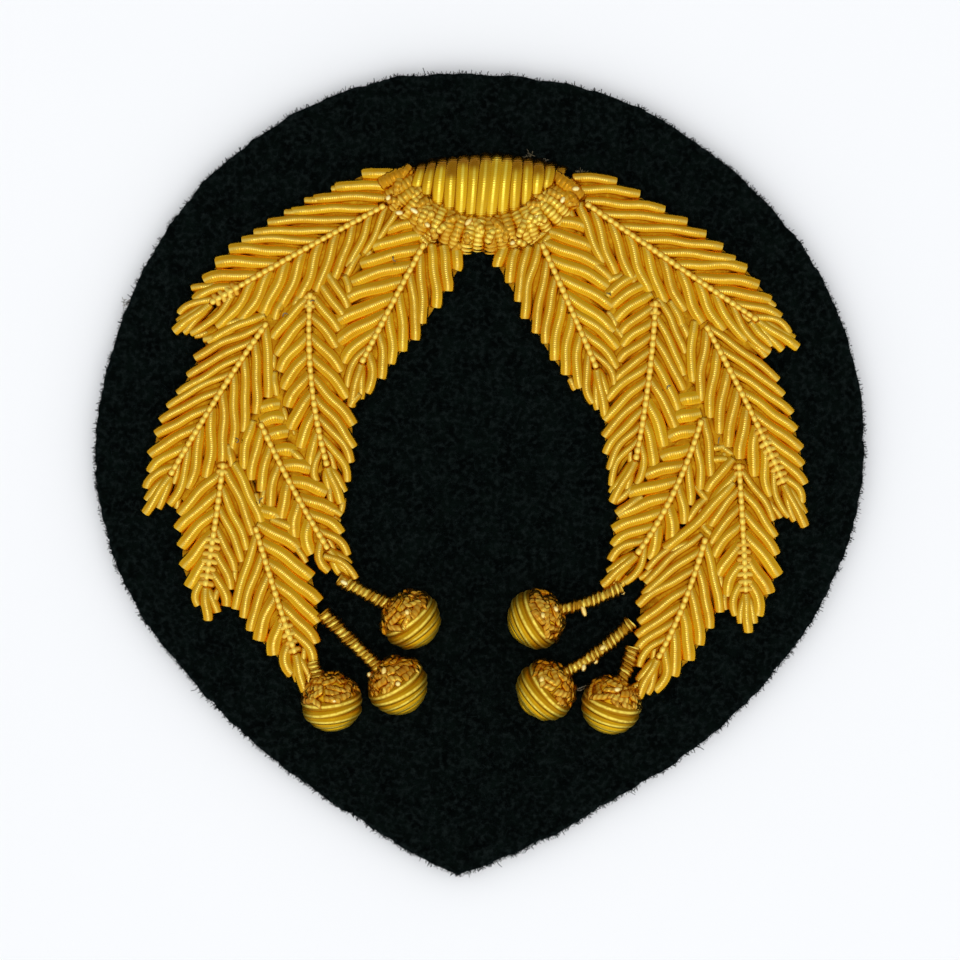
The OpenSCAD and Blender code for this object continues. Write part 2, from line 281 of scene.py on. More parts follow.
wearMasks = {
    "Cloud": {"scale": 250.0, "detail": 3.0, "from": 0.35, "to": 0.68},
    "Speck": {"scale": 2500.0, "detail": 2.0, "from": 0.45, "to": 0.7},
}


def makeWearGroup():
    # soft cloudy wear and fine specks, in object space
    scales = {label + " Scale": mask["scale"] for label, mask in wearMasks.items()}
    group, given, out = newGroup("handledWear", scales, wearMasks)
    for label, mask in wearMasks.items():
        patches = noiseNode(group, given.outputs[label + " Scale"], mask["detail"])
        group.links.new(rampNode(group, patches, mask["from"], mask["to"]), out.inputs[label])
    return group


coilTurns = makeCoilGroup()
handledWear = makeWearGroup()


def placeGroup(tree, group, **values):
    node = tree.nodes.new("ShaderNodeGroup")
    node.node_tree = group
    for label, value in values.items():
        node.inputs[label.replace("_", " ")].default_value = value
    return node


def newMaterial(name):
    material = bpy.data.materials.new(name)
    material.use_nodes = True
    tree = material.node_tree
    return material, tree, tree.nodes["Principled BSDF"]


def bumpNode(tree, shader, height, distance):
    node = tree.nodes.new("ShaderNodeBump")
    node.inputs["Distance"].default_value = distance * mm
    tree.links.new(height, node.inputs["Height"])
    tree.links.new(node.outputs[0], shader.inputs["Normal"])


def goldWire(name, look):
    material, tree, shader = newMaterial(name)
    coil = placeGroup(tree, coilTurns, Turn=look["turn"])
    wear = placeGroup(tree, handledWear, Cloud_Scale=look["cloud"], Speck_Scale=look["speck"])
    cloud, speck, top = wear.outputs["Cloud"], wear.outputs["Speck"], coil.outputs["Top"]
    # the tone runs from deep to bright: random from wire to wire on barbs, but painted shade and painted
    # highlight along beads, ribs, boss strands, stem turns and berry rings
    tone = tree.nodes.new("ShaderNodeAttribute")
    tone.attribute_name = "tone"
    body = mixColour(tree, tone.outputs["Fac"], look["deep"], look["bright"])
    body = mixColour(tree, mathNode(tree, "MULTIPLY", cloud, look["tarnish"]), body, look["dull"])
    # painted shade and painted reflection of the neighbouring gold: warmer low on its flanks, where it meets
    # its neighbours
    sunk = mathNode(tree, "DIVIDE", mathNode(tree, "SUBTRACT", top, 0.5), look["creviceReach"], clamp=True)
    body = mixColour(tree, sunk, look["crevice"], body)
    # painted highlight: paler along its top, broken up by the specks
    reach = look["highlightReach"]
    paintedHighlightMask = mathNode(tree, "DIVIDE", mathNode(tree, "SUBTRACT", top, 1 - reach), reach, clamp=True)
    # on beads, ribs, stems and boss strands the painted highlight follows the painted shading of the tone
    if look["highlightByTone"]:
        paintedHighlightMask = mathNode(tree, "MULTIPLY", paintedHighlightMask, tone.outputs["Fac"])
    paintedHighlightMask = mathNode(tree, "MULTIPLY", paintedHighlightMask, mathNode(tree, "MULTIPLY_ADD", speck, -look["broken"], 1.0))
    tree.links.new(mixColour(tree, paintedHighlightMask, body, look["top"]), shader.inputs["Base Color"])
    shader.inputs["Metallic"].default_value = 1.0
    rough = mathNode(tree, "MULTIPLY_ADD", speck, look["roughSpread"], look["rough"])
    tree.links.new(rough, shader.inputs["Roughness"])
    shader.inputs["Coat Weight"].default_value = look["coat"]
    shader.inputs["Coat Roughness"].default_value = look["coatRough"]
    height = mathNode(tree, "MULTIPLY_ADD", speck, look["speckBump"], coil.outputs["Height"])
    bumpNode(tree, shader, height, look["bump"])
    return material


# top is the colour of the painted highlight, and crevice that of the painted shade and reflection on the
# flanks
smoothLook = {
    "bright": (0.6, 0.33, 0.006, 1), "deep": (0.52, 0.255, 0.004, 1), "dull": (0.48, 0.2, 0.003, 1),
    "crevice": (0.95, 0.54, 0.012, 1), "top": (0.64, 0.44, 0.07, 1), "creviceReach": 0.34,
    "highlightReach": 0.045, "highlightByTone": False, "broken": 0.5, "tarnish": 0.4, "turn": 0.2, "bump": 0.008,
    "speckBump": 0.3, "rough": 0.19, "roughSpread": 0.12, "cloud": 420.0, "speck": 2600.0, "coat": 0.1,
    "coatRough": 0.12,
}
# deep is the colour of the painted shade up the boss's far flank
yellowLook = dict(
    smoothLook, bright=(0.62, 0.36, 0.006, 1), deep=(0.3, 0.125, 0.002, 1), dull=(0.48, 0.24, 0.003, 1),
    crevice=(0.5, 0.25, 0.004, 1), top=(0.8, 0.62, 0.075, 1), highlightReach=0.06, highlightByTone=True,
    broken=0.2, tarnish=0.2
)
woundLook = dict(
    smoothLook, bright=(0.73, 0.48, 0.009, 1), deep=(0.36, 0.17, 0.002, 1), dull=(0.4, 0.18, 0.002, 1),
    crevice=(0.8, 0.44, 0.01, 1), top=(0.86, 0.68, 0.1, 1), highlightReach=0.06, rough=0.44,
    roughSpread=0.1, coat=0.04
)
pearlLook = dict(
    smoothLook, bright=(0.7, 0.44, 0.02, 1), deep=(0.6, 0.24, 0.002, 1), top=(0.88, 0.65, 0.11, 1),
    rough=0.3, bump=0.004, highlightReach=0.3, highlightByTone=True, broken=0.0, tarnish=0.15
)
checkLook = dict(
    smoothLook, bright=(0.68, 0.41, 0.013, 1), deep=(0.46, 0.2, 0.002, 1), dull=(0.42, 0.17, 0.002, 1),
    crevice=(0.8, 0.41, 0.008, 1), top=(0.95, 0.77, 0.14, 1), rough=0.24, turn=0.25, creviceReach=0.35,
    highlightReach=0.2, highlightByTone=True, broken=0.6, tarnish=0.6, cloud=900.0
)
capLook = dict(
    checkLook, bright=(0.66, 0.37, 0.01, 1), deep=(0.43, 0.17, 0.002, 1), dull=(0.36, 0.12, 0.001, 1),
    top=(0.85, 0.6, 0.09, 1), crevice=(0.6, 0.24, 0.003, 1), highlightReach=0.3, tarnish=0.8
)
stemLook = dict(
    checkLook, bright=(0.6, 0.38, 0.012, 1), deep=(0.32, 0.15, 0.003, 1), top=(0.92, 0.74, 0.13, 1),
    highlightReach=0.25
)
# pale colours: a painted glint on the bright bits
paintedGlintLook = dict(
    checkLook, bright=(0.9, 0.74, 0.26, 1), deep=(0.85, 0.66, 0.2, 1), dull=(0.9, 0.66, 0.2, 1),
    top=(0.96, 0.85, 0.42, 1), crevice=(0.8, 0.46, 0.04, 1), rough=0.42, creviceReach=0.5
)
smoothPurl = goldWire("smoothPurl", smoothLook)
yellowPurl = goldWire("yellowPurl", yellowLook)
woundPurl = goldWire("woundPurl", woundLook)
pearlPurl = goldWire("pearlPurl", pearlLook)
checkPurl = goldWire("checkPurl", checkLook)
capPurl = goldWire("capPurl", capLook)
stemPurl = goldWire("stemPurl", stemLook)
paintedGlintPurl = goldWire("paintedGlintPurl", paintedGlintLook)


def feltMaterial(name, look):
    material, tree, shader = newMaterial(name)
    wear = placeGroup(tree, handledWear, Cloud_Scale=look["cloud"], Speck_Scale=look["speck"])
    cloud, speck = wear.outputs["Cloud"], wear.outputs["Speck"]
    body = mixColour(tree, cloud, look["dark"], look["light"])
    body = mixColour(tree, mathNode(tree, "MULTIPLY", speck, look["fleck"]), body, look["fleckColour"])
    tree.links.new(body, shader.inputs["Base Color"])
    shader.inputs["Roughness"].default_value = look["rough"]
    shader.inputs["Specular IOR Level"].default_value = look["shine"]
    shader.inputs["Sheen Weight"].default_value = look["sheen"]
    shader.inputs["Sheen Roughness"].default_value = look["sheenRough"]
    shader.inputs["Sheen Tint"].default_value = look["sheenTint"]
    fibres = noiseNode(tree, look["nap"], *look["napDetail"])
    bumpNode(tree, shader, mathNode(tree, "ADD", fibres, speck), look["bump"])
    return material


feltLook = {
    "dark": (0.0002, 0.0009, 0.0006, 1), "light": (0.002, 0.0045, 0.0034, 1), "fleck": 0.9,
    "fleckColour": (0.0075, 0.0115, 0.0105, 1), "rough": 0.95, "shine": 0.02, "sheen": 0.012,
    "sheenRough": 0.5, "sheenTint": (0.4, 0.7, 0.9, 1), "cloud": 500.0, "speck": 1900.0, "nap": 3500.0,
    "napDetail": (4.0, 0.7), "bump": 0.25,
}
paddingLook = dict(
    feltLook, dark=(0.42, 0.17, 0.003, 1), light=(0.55, 0.25, 0.005, 1), fleckColour=(0.65, 0.35, 0.01, 1),
    sheen=0.05, sheenTint=(1.0, 0.7, 0.3, 1), bump=0.06
)
lintLook = dict(
    feltLook, dark=(0.12, 0.09, 0.04, 1), light=(0.24, 0.2, 0.12, 1), fleckColour=(0.3, 0.27, 0.2, 1),
    sheen=0.02
)
woolFelt = feltMaterial("woolFelt", feltLook)
paddingFelt = feltMaterial("paddingFelt", paddingLook)
lintWool = feltMaterial("lintWool", lintLook)
print("materials made")

# wool felt ground: angle from the right-hand side and distance from the middle of the round head
felt = {
    "middle": (0.0, 1.75),
    "rows": [
        (-93, 41.9), (-87, 40.2), (-81, 38.8), (-69, 36.8), (-54, 36.2), (-39, 36.3), (-24, 37.1), (-9, 38.0),
        (6, 38.5), (24, 38.6), (42, 38.3), (54, 38.2), (66, 38.4), (90, 38.3), (105, 39.0), (120, 39.1),
        (135, 39.0), (150, 38.6), (165, 38.4), (180, 38.6), (192, 38.2), (204, 37.5), (216, 36.6),
        (228, 36.4), (240, 36.9), (250, 38.0), (258, 39.7), (267, 41.9),
    ],
    # the cut edge: how far in and how high its foot goes, then its rounded rim
    "edgeSteps": 22, "plainSteps": 5, "foot": [(0.15, 0.0), (0.0, 0.18)], "round": 0.45, "rimSteps": 4,
    "swell": 0.02, "rings": 84,
    # how rough the edge and the face are, and the noise of each: how often it comes, and its share
    "rough": 0.34, "wander": [(0.45, 0.55), (1.6, 0.45)],
    "grain": 0.06, "grainLayers": [(2.4, 0.6), (6.1, 0.4)],
}


def outlineRadius(i, t):
    rows = felt["rows"]
    a, b = rows[i][1], rows[i + 1][1]
    before = (b - rows[i - 1][1]) / 2 if i else b - a
    after = (rows[i + 2][1] - a) / 2 if i + 2 < len(rows) else b - a
    return smoothStep(a, b, before, after, t)


def feltOutline(steps):
    points = []
    rows = felt["rows"]
    for i in range(len(rows) - 1):
        for s in range(steps):
            turn = math.radians(mix(rows[i][0], rows[i + 1][0], s / steps))
            points.append(flat(felt["middle"]) + towards(turn) * outlineRadius(i, s / steps))
    return points


def boxMiddle(points):
    xs, ys = [p.x for p in points], [p.y for p in points]
    return flat(((max(xs) + min(xs)) / 2, (max(ys) + min(ys)) / 2))


# the outline lies over the middle of the solid that it replaces
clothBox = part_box("backing_cloth")
feltShift = flat((clothBox[0] + clothBox[1]) / 2 / mm) - boxMiddle(feltOutline(felt["plainSteps"]))
feltEdge = [p + feltShift for p in feltOutline(felt["edgeSteps"])]
feltMiddle = flat(felt["middle"]) + feltShift


def inward(p, distance):
    return p + (feltMiddle - p).normalized() * distance


# the cut edge wanders a little in and out
roughEdge = [inward(p, felt["rough"] * layered(p, felt["wander"])) for p in feltEdge]


def makeGround():
    work = newWork()
    points, faces, count = work["points"], work["faces"], len(roughEdge)
    # up from the foot and over the rounded rim
    levels = list(felt["foot"])
    for angle in shares(felt["rimSteps"], 0.0, math.pi / 2):
        inset = felt["round"] * (1 - math.cos(angle)) - felt["swell"]
        levels.append((inset, clothTop - felt["round"] * (1 - math.sin(angle))))
    for inset, z in levels:
        points += [flat(inward(p, inset), z) for p in roughEdge]
    rim = [inward(p, levels[-1][0]) for p in roughEdge]
    for ring in range(1, felt["rings"]):
        for p in rim:
            q = mix(feltMiddle, p, 1 - ring / felt["rings"])
            points.append(flat(q, clothTop + felt["grain"] * layered(q, felt["grainLayers"])))
    rings = len(levels) + felt["rings"] - 1
    points += [flat(feltMiddle, clothTop), flat(feltMiddle)]
    top = len(points) - 2
    for r in range(rings - 1):
        for i in range(count):
            a, b = r * count + i, r * count + (i + 1) % count
            faces.append((a, b, b + count, a + count))
    last = (rings - 1) * count
    for i in range(count):
        faces.append((last + i, last + (i + 1) % count, top))
        faces.append(((i + 1) % count, i, top + 1))
    work["wound"] = [plainWound for face in faces for point in face]
    work["tone"] = [plainTone] * len(points)
    ground = makePiece("wool_ground", work, woolFelt, ("backing_cloth",))
    pairs = zip(feltEdge, feltEdge[1:] + feltEdge[:1])
    area = abs(sum(a.x * b.y - b.x * a.y for a, b in pairs)) / 2 * mm * mm


makeGround()
print("felt ground made")

nap = {
    "fibres": 6500, "long": (0.7, 1.6), "thick": 0.035, "spread": (0.6, 1.3), "reach": 0.985, "sunk": 0.02,
    "raised": 0.03, "lift": 0.05, "curl": (0.35, 0.1), "sides": 3, "seed": 11,
}
fuzz = {
    "fibres": 6000, "long": (0.2, 0.65), "spread": (0.5, 1.1), "inset": 0.15, "margin": 0.1,
    "outward": (0.1, 0.9), "upward": (-0.2, 0.3), "lowest": 0.06,
}


def fibrePath(start, heading, long, lift, rng, steps=3):
    aside, rise = nap["curl"]
    path = [start]
    heading = heading.normalized()
    for i in range(steps):
        stray = Vector((rng.gauss(0, aside), rng.gauss(0, aside), rng.gauss(0, rise)))
        heading = (heading + stray).normalized()
        path.append(path[-1] + heading * (long / steps) + up * (lift * (1 - 2 * i / steps)))
    return path


def makeNap(rng):
    work = newWork()
    for _ in range(nap["fibres"]):
        p = feltEdge[rng.randrange(len(feltEdge))]
        q = mix(feltMiddle, p, math.sqrt(rng.random()) * nap["reach"])
        heading = Vector((rng.uniform(-1, 1), rng.uniform(-1, 1), 0))
        start = flat(q, clothTop - nap["sunk"] + rng.random() * nap["raised"])
        path = fibrePath(start, heading, rng.uniform(*nap["long"]), nap["lift"], rng)
        thick = nap["thick"] * rng.uniform(*nap["spread"])
        addTube(work, path, thick, sides=nap["sides"], tone=rng.random())
    makePiece("wool_nap", work, woolFelt)


def makeFuzz(rng):
    # short fibres standing out from the cut edge
    work = newWork()
    for _ in range(fuzz["fibres"]):
        p = roughEdge[rng.randrange(len(roughEdge))]
        outward = (p - feltMiddle).normalized()
        along = up.cross(outward)
        start = inward(p, fuzz["inset"]) + up * rng.uniform(fuzz["margin"], clothTop - fuzz["margin"])
        heading = outward * rng.uniform(*fuzz["outward"]) + along * rng.uniform(-1, 1)
        heading += up * rng.uniform(*fuzz["upward"])
        path = fibrePath(start, heading, rng.uniform(*fuzz["long"]), 0.0, rng)
        path = [flat(q, max(fuzz["lowest"], q.z)) for q in path]
        thick = nap["thick"] * rng.uniform(*fuzz["spread"])
        addTube(work, path, thick, sides=nap["sides"], tone=rng.random())
    makePiece("edge_fuzz", work, woolFelt)


fibreDraws = random.Random(nap["seed"])
makeNap(fibreDraws)
makeFuzz(fibreDraws)
print("felt nap made")

# leaves: the vein's root, middle, end and tip; then for each side the number of barbs, the places along
# the vein where the first and the last start, and four points that their ends follow
leaves = {
    "left_1": (
        [(-9.4, 26.9), (-18.2, 22.1), (-26.9, 17.1), (-30.6, 14.2)],
        (12, -0.31, 0.96, [(-11.9, 29.9), (-20.4, 25.6), (-25.6, 21.9), (-29.9, 15.9)]),
        (11, -0.10, 0.85, [(-10.2, 23.4), (-15.4, 19.1), (-21.2, 16.1), (-28.9, 14.1)]),
    ),
    "left_2": (
        [(-5.5, 23.1), (-8.7, 17.1), (-11.8, 11.1), (-12.9, 6.7)],
        (9, -0.22, 0.85, [(-9.4, 24.4), (-12.8, 19.8), (-14.2, 14.7), (-13.2, 8.7)]),
        (9, -0.42, 0.90, [(-2.2, 20.3), (-5.2, 15.4), (-8.1, 11.8), (-11.2, 8.1)]),
    ),
    "left_3": (
        [(-16.9, 18.2), (-16.8, 9.4), (-15.2, 0.8), (-13.8, -3.0)],
        (9, 0.02, 0.90, [(-20.9, 13.4), (-19.9, 9.2), (-18.6, 3.8), (-15.9, -0.9)]),
        (10, -0.22, 0.82, [(-13.2, 16.6), (-14.2, 12.7), (-12.6, 4.8), (-13.2, -0.9)]),
    ),
    "left_4": (
        [(-21.2, 15.2), (-25.9, 8.2), (-30.9, -0.1), (-33.5, -4.0)],
        (10, -0.10, 0.95, [(-27.4, 13.2), (-30.2, 8.1), (-32.5, 3.6), (-33.2, -1.6)]),
        (8, 0.03, 0.82, [(-21.2, 7.7), (-23.9, 3.5), (-26.8, 0.2), (-31.1, -3.0)]),
    ),
    "left_5": (
        [(-21.9, 5.2), (-18.9, -0.9), (-15.1, -7.5), (-12.6, -10.2)],
        (8, -0.10, 0.92, [(-23.8, 0.5), (-21.4, -2.4), (-19.1, -5.7), (-14.8, -9.8)]),
        (9, -0.12, 0.85, [(-19.9, 7.0), (-18.4, 3.0), (-14.8, -2.5), (-13.2, -8.2)]),
    ),
    "left_6": (
        [(-25.6, 1.2), (-26.4, -4.9), (-27.4, -11.2), (-27.1, -14.7)],
        (6, 0.08, 0.90, [(-30.1, -4.0), (-29.9, -6.8), (-29.6, -10.1), (-27.9, -13.2)]),
        (7, -0.14, 0.86, [(-21.8, -4.8), (-23.2, -7.7), (-24.4, -9.9), (-25.4, -13.2)]),
    ),
    "left_7": (
        [(-22.4, -5.2), (-20.6, -11.2), (-18.4, -17.9), (-17.4, -21.8)],
        (6, 0.06, 0.90, [(-24.4, -13.3), (-23.1, -15.2), (-21.6, -17.1), (-18.6, -19.9)]),
        (7, -0.20, 0.80, [(-19.8, -4.7), (-16.6, -10.5), (-16.1, -14.9), (-16.6, -19.1)]),
    ),
    "right_1": (
        [(10.6, 27.1), (19.2, 21.2), (27.8, 15.4), (31.9, 12.6)],
        (12, -0.24, 0.96, [(13.8, 29.1), (22.1, 24.3), (27.3, 20.0), (31.2, 14.2)]),
        (10, -0.05, 0.85, [(12.2, 21.2), (17.1, 18.1), (22.4, 15.1), (29.1, 12.2)]),
    ),
    "right_2": (
        [(6.2, 23.1), (8.9, 17.1), (11.7, 10.6), (12.6, 5.7)],
        (9, -0.30, 0.85, [(10.7, 24.4), (12.7, 19.4), (13.9, 13.9), (13.3, 8.7)]),
        (10, -0.48, 0.88, [(2.0, 20.6), (4.8, 15.6), (7.5, 11.2), (11.3, 7.0)]),
    ),
    "right_3": (
        [(17.6, 17.4), (16.9, 9.4), (15.6, 1.4), (13.2, -2.9)],
        (8, -0.04, 0.88, [(20.6, 11.9), (20.2, 7.5), (18.9, 3.2), (15.8, -1.2)]),
        (13, -0.24, 0.86, [(12.5, 17.8), (14.2, 12.9), (12.4, 5.4), (13.1, -1.2)]),
    ),
    "right_4": (
        [(22.6, 14.9), (26.9, 6.7), (30.4, -0.9), (32.6, -5.3)],
        (8, 0.00, 0.93, [(29.8, 9.4), (31.4, 5.5), (32.4, 1.4), (32.5, -3.0)]),
        (9, -0.10, 0.85, [(21.1, 9.1), (23.6, 4.5), (26.4, 0.8), (30.8, -4.2)]),
    ),
    "right_5": (
        [(22.2, 5.5), (19.4, -1.8), (15.7, -8.0), (12.2, -11.2)],
        (7, -0.03, 0.90, [(23.1, -0.2), (21.1, -3.2), (19.1, -6.8), (14.2, -10.8)]),
        (10, -0.16, 0.88, [(20.1, 7.2), (17.9, 1.7), (13.7, -4.0), (13.2, -8.8)]),
    ),
    "right_6": (
        [(25.9, 1.1), (26.3, -5.3), (26.6, -11.8), (26.9, -15.9)],
        (6, 0.03, 0.88, [(29.6, -4.7), (29.8, -7.5), (29.6, -10.8), (27.9, -14.2)]),
        (8, -0.08, 0.88, [(22.6, -1.9), (23.1, -5.8), (23.8, -9.4), (25.6, -14.2)]),
    ),
    "right_7": (
        [(22.6, -6.3), (20.4, -12.9), (17.8, -18.4), (15.8, -22.4)],
        (6, 0.03, 0.88, [(23.8, -13.9), (22.4, -16.6), (20.4, -19.4), (17.4, -21.6)]),
        (8, -0.20, 0.80, [(16.7, -9.6), (16.1, -12.5), (15.8, -15.7), (15.8, -19.4)]),
    ),
}
barb = {
    "top": 3.2, "rise": 0.47, "cover": 1.08, "narrowest": 0.46, "widest": 0.84, "widthAt": 0.6, "sides": 16,
    # it dips at its root and at its end, and bows more towards the leaf's tip
    "rootDip": 0.15, "rootRun": 1.3, "endDip": 0.2, "endRun": 1.0, "overhang": -0.05, "bow": -0.2,
    "tipBow": -0.6, "tipFrom": 0.75, "bowStray": 0.05, "bowEarly": 0.6, "bowLate": 0.8,
    # it waves a little, and starts later where the table puts it before the vein's root
    "wave": 0.14, "waveRate": 1.1, "swing": (0.4, 1.0), "endStray": 0.12, "lateRate": 1.6, "lateLimit": 0.7,
    # steps along it, and how far from its cut end and how thick the last ones are
    "step": 0.3, "fewest": 6, "cutEnd": [(0.22, 1.0), (0.07, 0.95), (0.0, 0.78)], "seed": 100,
}
tipFill = {"share": 0.45, "bow": -0.15, "lift": -0.12, "across": 0.55, "lastAcross": 0.6}
padding = {"share": 0.97, "start": 0.25, "rise": 0.95, "bottom": 1.9, "columns": 7, "joinSteps": 4}


def oval(across, rise):
    # a wire pressed a little flat, measured from its middle line
    def shape(along, angle):
        return 1 / math.hypot(math.cos(angle) / rise, math.sin(angle) / across)

    return shape


def sideBarbs(vein, side):
    # start and end of each barb, with the bow that it takes towards the tip
    count, first, last, ends = side
    out = []
    for i in range(count):
        u = i / (count - 1)
        place = mix(first, last, u)
        end = throughFour(ends, u)
        late = min(barb["lateLimit"], barb["lateRate"] * max(0.0, -place))
        bow = mix(barb["bow"], barb["tipBow"], ease((u - barb["tipFrom"]) / (1 - barb["tipFrom"])))
        out.append((mix(throughThree(vein, place), end, late), end, bow))
    return out


def barbWidth(barbs, i):
    # half of the room between a barb's neighbours, so that the barbs lie close together
    start, end = barbs[i][0], barbs[i][1]
    sideways = up.cross((end - start).normalized())
    middle = mix(start, end, barb["widthAt"])
    room = []
    for other in barbs[max(0, i - 1):i + 2]:
        room.append(abs((mix(other[0], other[1], barb["widthAt"]) - middle).dot(sideways)))
    width = barb["cover"] * sum(room) / (len(room) - 1) / 2
    return min(barb["widest"], max(barb["narrowest"], width))


def barbPath(start, end, bow, tipward, rng, lift):
    heading = (end - start).normalized()
    end = end + heading * barb["overhang"]
    sideways = up.cross(heading)
    if sideways.dot(tipward) < 0:
        sideways = -sideways
    long = (end - start).length
    steps = max(barb["fewest"], round(long / barb["step"]))
    cut = barb["cutEnd"]
    runs = [(long - cut[0][0]) * i / steps for i in range(steps)] + [long - back for back, size in cut]
    sizes = [1.0] * steps + [size for back, size in cut]
    phase, swing = rng.uniform(0, math.tau), rng.uniform(*barb["swing"]) * barb["wave"]
    path = []
    for run in runs:
        t = run / long
        aside = bow * 4 * t * (1 - t) * (barb["bowEarly"] + barb["bowLate"] * t)
        aside += swing * math.sin(phase + run * barb["waveRate"]) * math.sin(math.pi * t)
        z = barb["top"] + lift - barb["rise"] - barb["rootDip"] * (1 - ease(run / barb["rootRun"]))
        z -= barb["endDip"] * ease((run - long + barb["endRun"]) / barb["endRun"])
        path.append(mix(start, end, t) + sideways * aside + up * z)
    return path, sizes


def addBarb(work, start, end, bow, across, tipward, rng, lift=0.0):
    path, sizes = barbPath(start, end, bow, tipward, rng, lift)
    addTube(work, path, sizes, sides=barb["sides"], tone=rng.random(), shape=oval(across, barb["rise"]))


def addPad(pads, barbs):
    # raised padding under one side of a leaf
    grid = []
    for start, end, bow in barbs:
        row = []
        for t in shares(padding["columns"] - 1):
            rise = padding["rise"] * math.sin(math.pi * mix(padding["start"], 1.0, t))
            row.append(flat(mix(start, end, t * padding["share"]), clothTop + rise))
        grid.append(row)
    addSlab(pads, grid, padding["bottom"])


def makeLeaf(number, name, leaf, pads):
    vein, outer, inner = leaf
    rng = random.Random(barb["seed"] + number)
    tipward = (flat(vein[3]) - flat(vein[0])).normalized()
    work = newWork()
    for side in (outer, inner):
        barbs = sideBarbs(vein, side)
        for i, (start, end, bow) in enumerate(barbs):
            stray = Vector((rng.gauss(0, 1), rng.gauss(0, 1), 0)) * barb["endStray"]
            bow += rng.gauss(0, barb["bowStray"])
            addBarb(work, start, end + stray, bow, barbWidth(barbs, i), tipward, rng)
        # one more, sunk between the last barb and the tip
        end = mix(barbs[-1][1], flat(vein[3]), tipFill["share"])
        addBarb(work, flat(vein[2]), end, tipFill["bow"], tipFill["across"], tipward, rng, tipFill["lift"])
        addPad(pads, barbs)
    addBarb(work, flat(vein[2]), flat(vein[3]), 0.0, tipFill["lastAcross"], tipward, rng)
    makePiece("barbs_" + name, work, smoothPurl, ("leaf_" + name,))


pearl = {
    "pitch": 0.66, "radius": 0.335, "height": 3.14, "waist": 0.68, "sharp": 0.55, "spread": (0.9, 1.08),
    "perBead": 8, "sides": 12, "seed": 300,
}
# turns of the same wire laid across the vein: the places where they start and end, and half their length
rungs = {
    "left_1": [(0.84, 0.98, 0.6)], "left_3": [(0.0, 0.1, 0.5)], "left_6": [(0.0, 0.1, 0.5), (0.6, 1.0, 0.8)],
    "left_7": [(0.72, 1.0, 0.6)], "right_3": [(0.0, 0.1, 0.5)], "right_4": [(0.63, 1.0, 0.65)],
    "right_6": [(0.0, 0.1, 0.5), (0.6, 1.0, 0.7)],
}
rung = {
    "pitch": 0.7, "across": 0.33, "rise": 0.28, "height": 3.42, "drop": 0.35, "ahead": 0.1, "steps": 8,
    "sides": 10, "nearby": 0.02, "spread": (0.85, 1.1), "tone": (0.2, 0.7),
}


def paintedBeadShading(pitch, high=1.0, sharp=0.8):
    # painted highlight on each bead and painted shade between them
    def shade(along):
        return high * ridged(along, pitch, sharp)

    return shade


def addRungs(work, vein, rows, rng):
    long = (flat(vein[2]) - flat(vein[0])).length
    near = rung["nearby"]
    for first, last, reach in rows:
        count = max(2, round((last - first) * long / rung["pitch"]))
        for i in range(count):
            place = mix(first, last, (i + 0.5) / count)
            ahead = (throughThree(vein, place + near) - throughThree(vein, place - near)).normalized()
            sideways = up.cross(ahead).normalized()
            half = reach * rng.uniform(*rung["spread"])
            path = []
            for t in shares(rung["steps"], -1.0):
                z = rung["height"] - rung["rise"] - rung["drop"] * t * t
                bowed = sideways * (half * t) + ahead * (rung["ahead"] * t * t)
                path.append(throughThree(vein, place) + bowed + up * z)
            shape = oval(rung["across"], rung["rise"])
            addTube(work, path, 1.0, sides=rung["sides"], tone=rng.uniform(*rung["tone"]), shape=shape)


def makeVein(number, name, vein):
    rng = random.Random(pearl["seed"] + number)
    work = newWork()
    beads = int((flat(vein[2]) - flat(vein[0])).length / pearl["pitch"])
    path = [throughThree(vein, u) + up * pearl["height"] for u in shares(beads * pearl["perBead"])]
    pitch = sum((b - a).length for a, b in zip(path, path[1:])) / beads
    sizes = [rng.uniform(*pearl["spread"]) for _ in range(beads + 1)]

    def bead(along, angle):
        size = sizes[int(along / pitch) % beads]
        return size * mix(pearl["waist"], 1.0, ridged(along, pitch, pearl["sharp"]))

    # painted highlight on each bead and painted shade between beads
    addTube(work, path, pearl["radius"], sides=pearl["sides"], tone=paintedBeadShading(pitch), shape=bead)
    addRungs(work, vein, rungs.get(name, []), rng)
    makePiece("beads_" + name, work, pearlPurl, ("vein_" + name,))


# strips of padding under the joins between leaves: half width, then the points along the join
joins = [
    (0.9, [(-9.5, 24.0), (-12.3, 21.5), (-13.6, 19.0), (-13.4, 16.6), (-14.0, 12.6), (-12.8, 8.0)]),
    (0.9, [(-13.6, 19.0), (-16.5, 18.0), (-20.5, 15.8), (-25.0, 14.3), (-27.6, 13.9)]),
    (1.0, [(-20.5, 15.8), (-20.8, 11.0), (-19.8, 6.0), (-18.0, 3.0), (-16.0, 0.2)]),
    (1.0, [(-20.7, 7.2), (-24.0, 3.2), (-25.5, 1.5), (-27.5, -0.5), (-29.6, -2.6)]),
    (1.0, [(-24.5, 1.5), (-23.0, -2.5), (-22.0, -5.5), (-23.8, -9.8)]),
    (0.9, [(-22.5, -3.5), (-20.0, -4.9), (-18.9, -6.4)]),
    (0.9, [(9.5, 24.0), (11.6, 21.5), (12.8, 19.2), (13.2, 17.0), (14.2, 13.0), (12.9, 8.0)]),
    (0.9, [(12.8, 20.4), (16.0, 18.8), (20.0, 16.2), (24.5, 13.9), (28.0, 12.6)]),
    (1.0, [(20.5, 16.0), (20.6, 11.0), (20.6, 7.5), (19.0, 3.5), (16.2, 0.2)]),
    (1.0, [(20.8, 8.5), (22.8, 5.0), (24.5, 2.5), (26.6, 0.2), (29.4, -2.8)]),
    (1.0, [(24.0, 2.2), (22.8, -2.0), (22.8, -6.0), (23.8, -9.8)]),
    (0.9, [(22.5, -5.5), (19.5, -6.4), (17.6, -8.6)]),
]


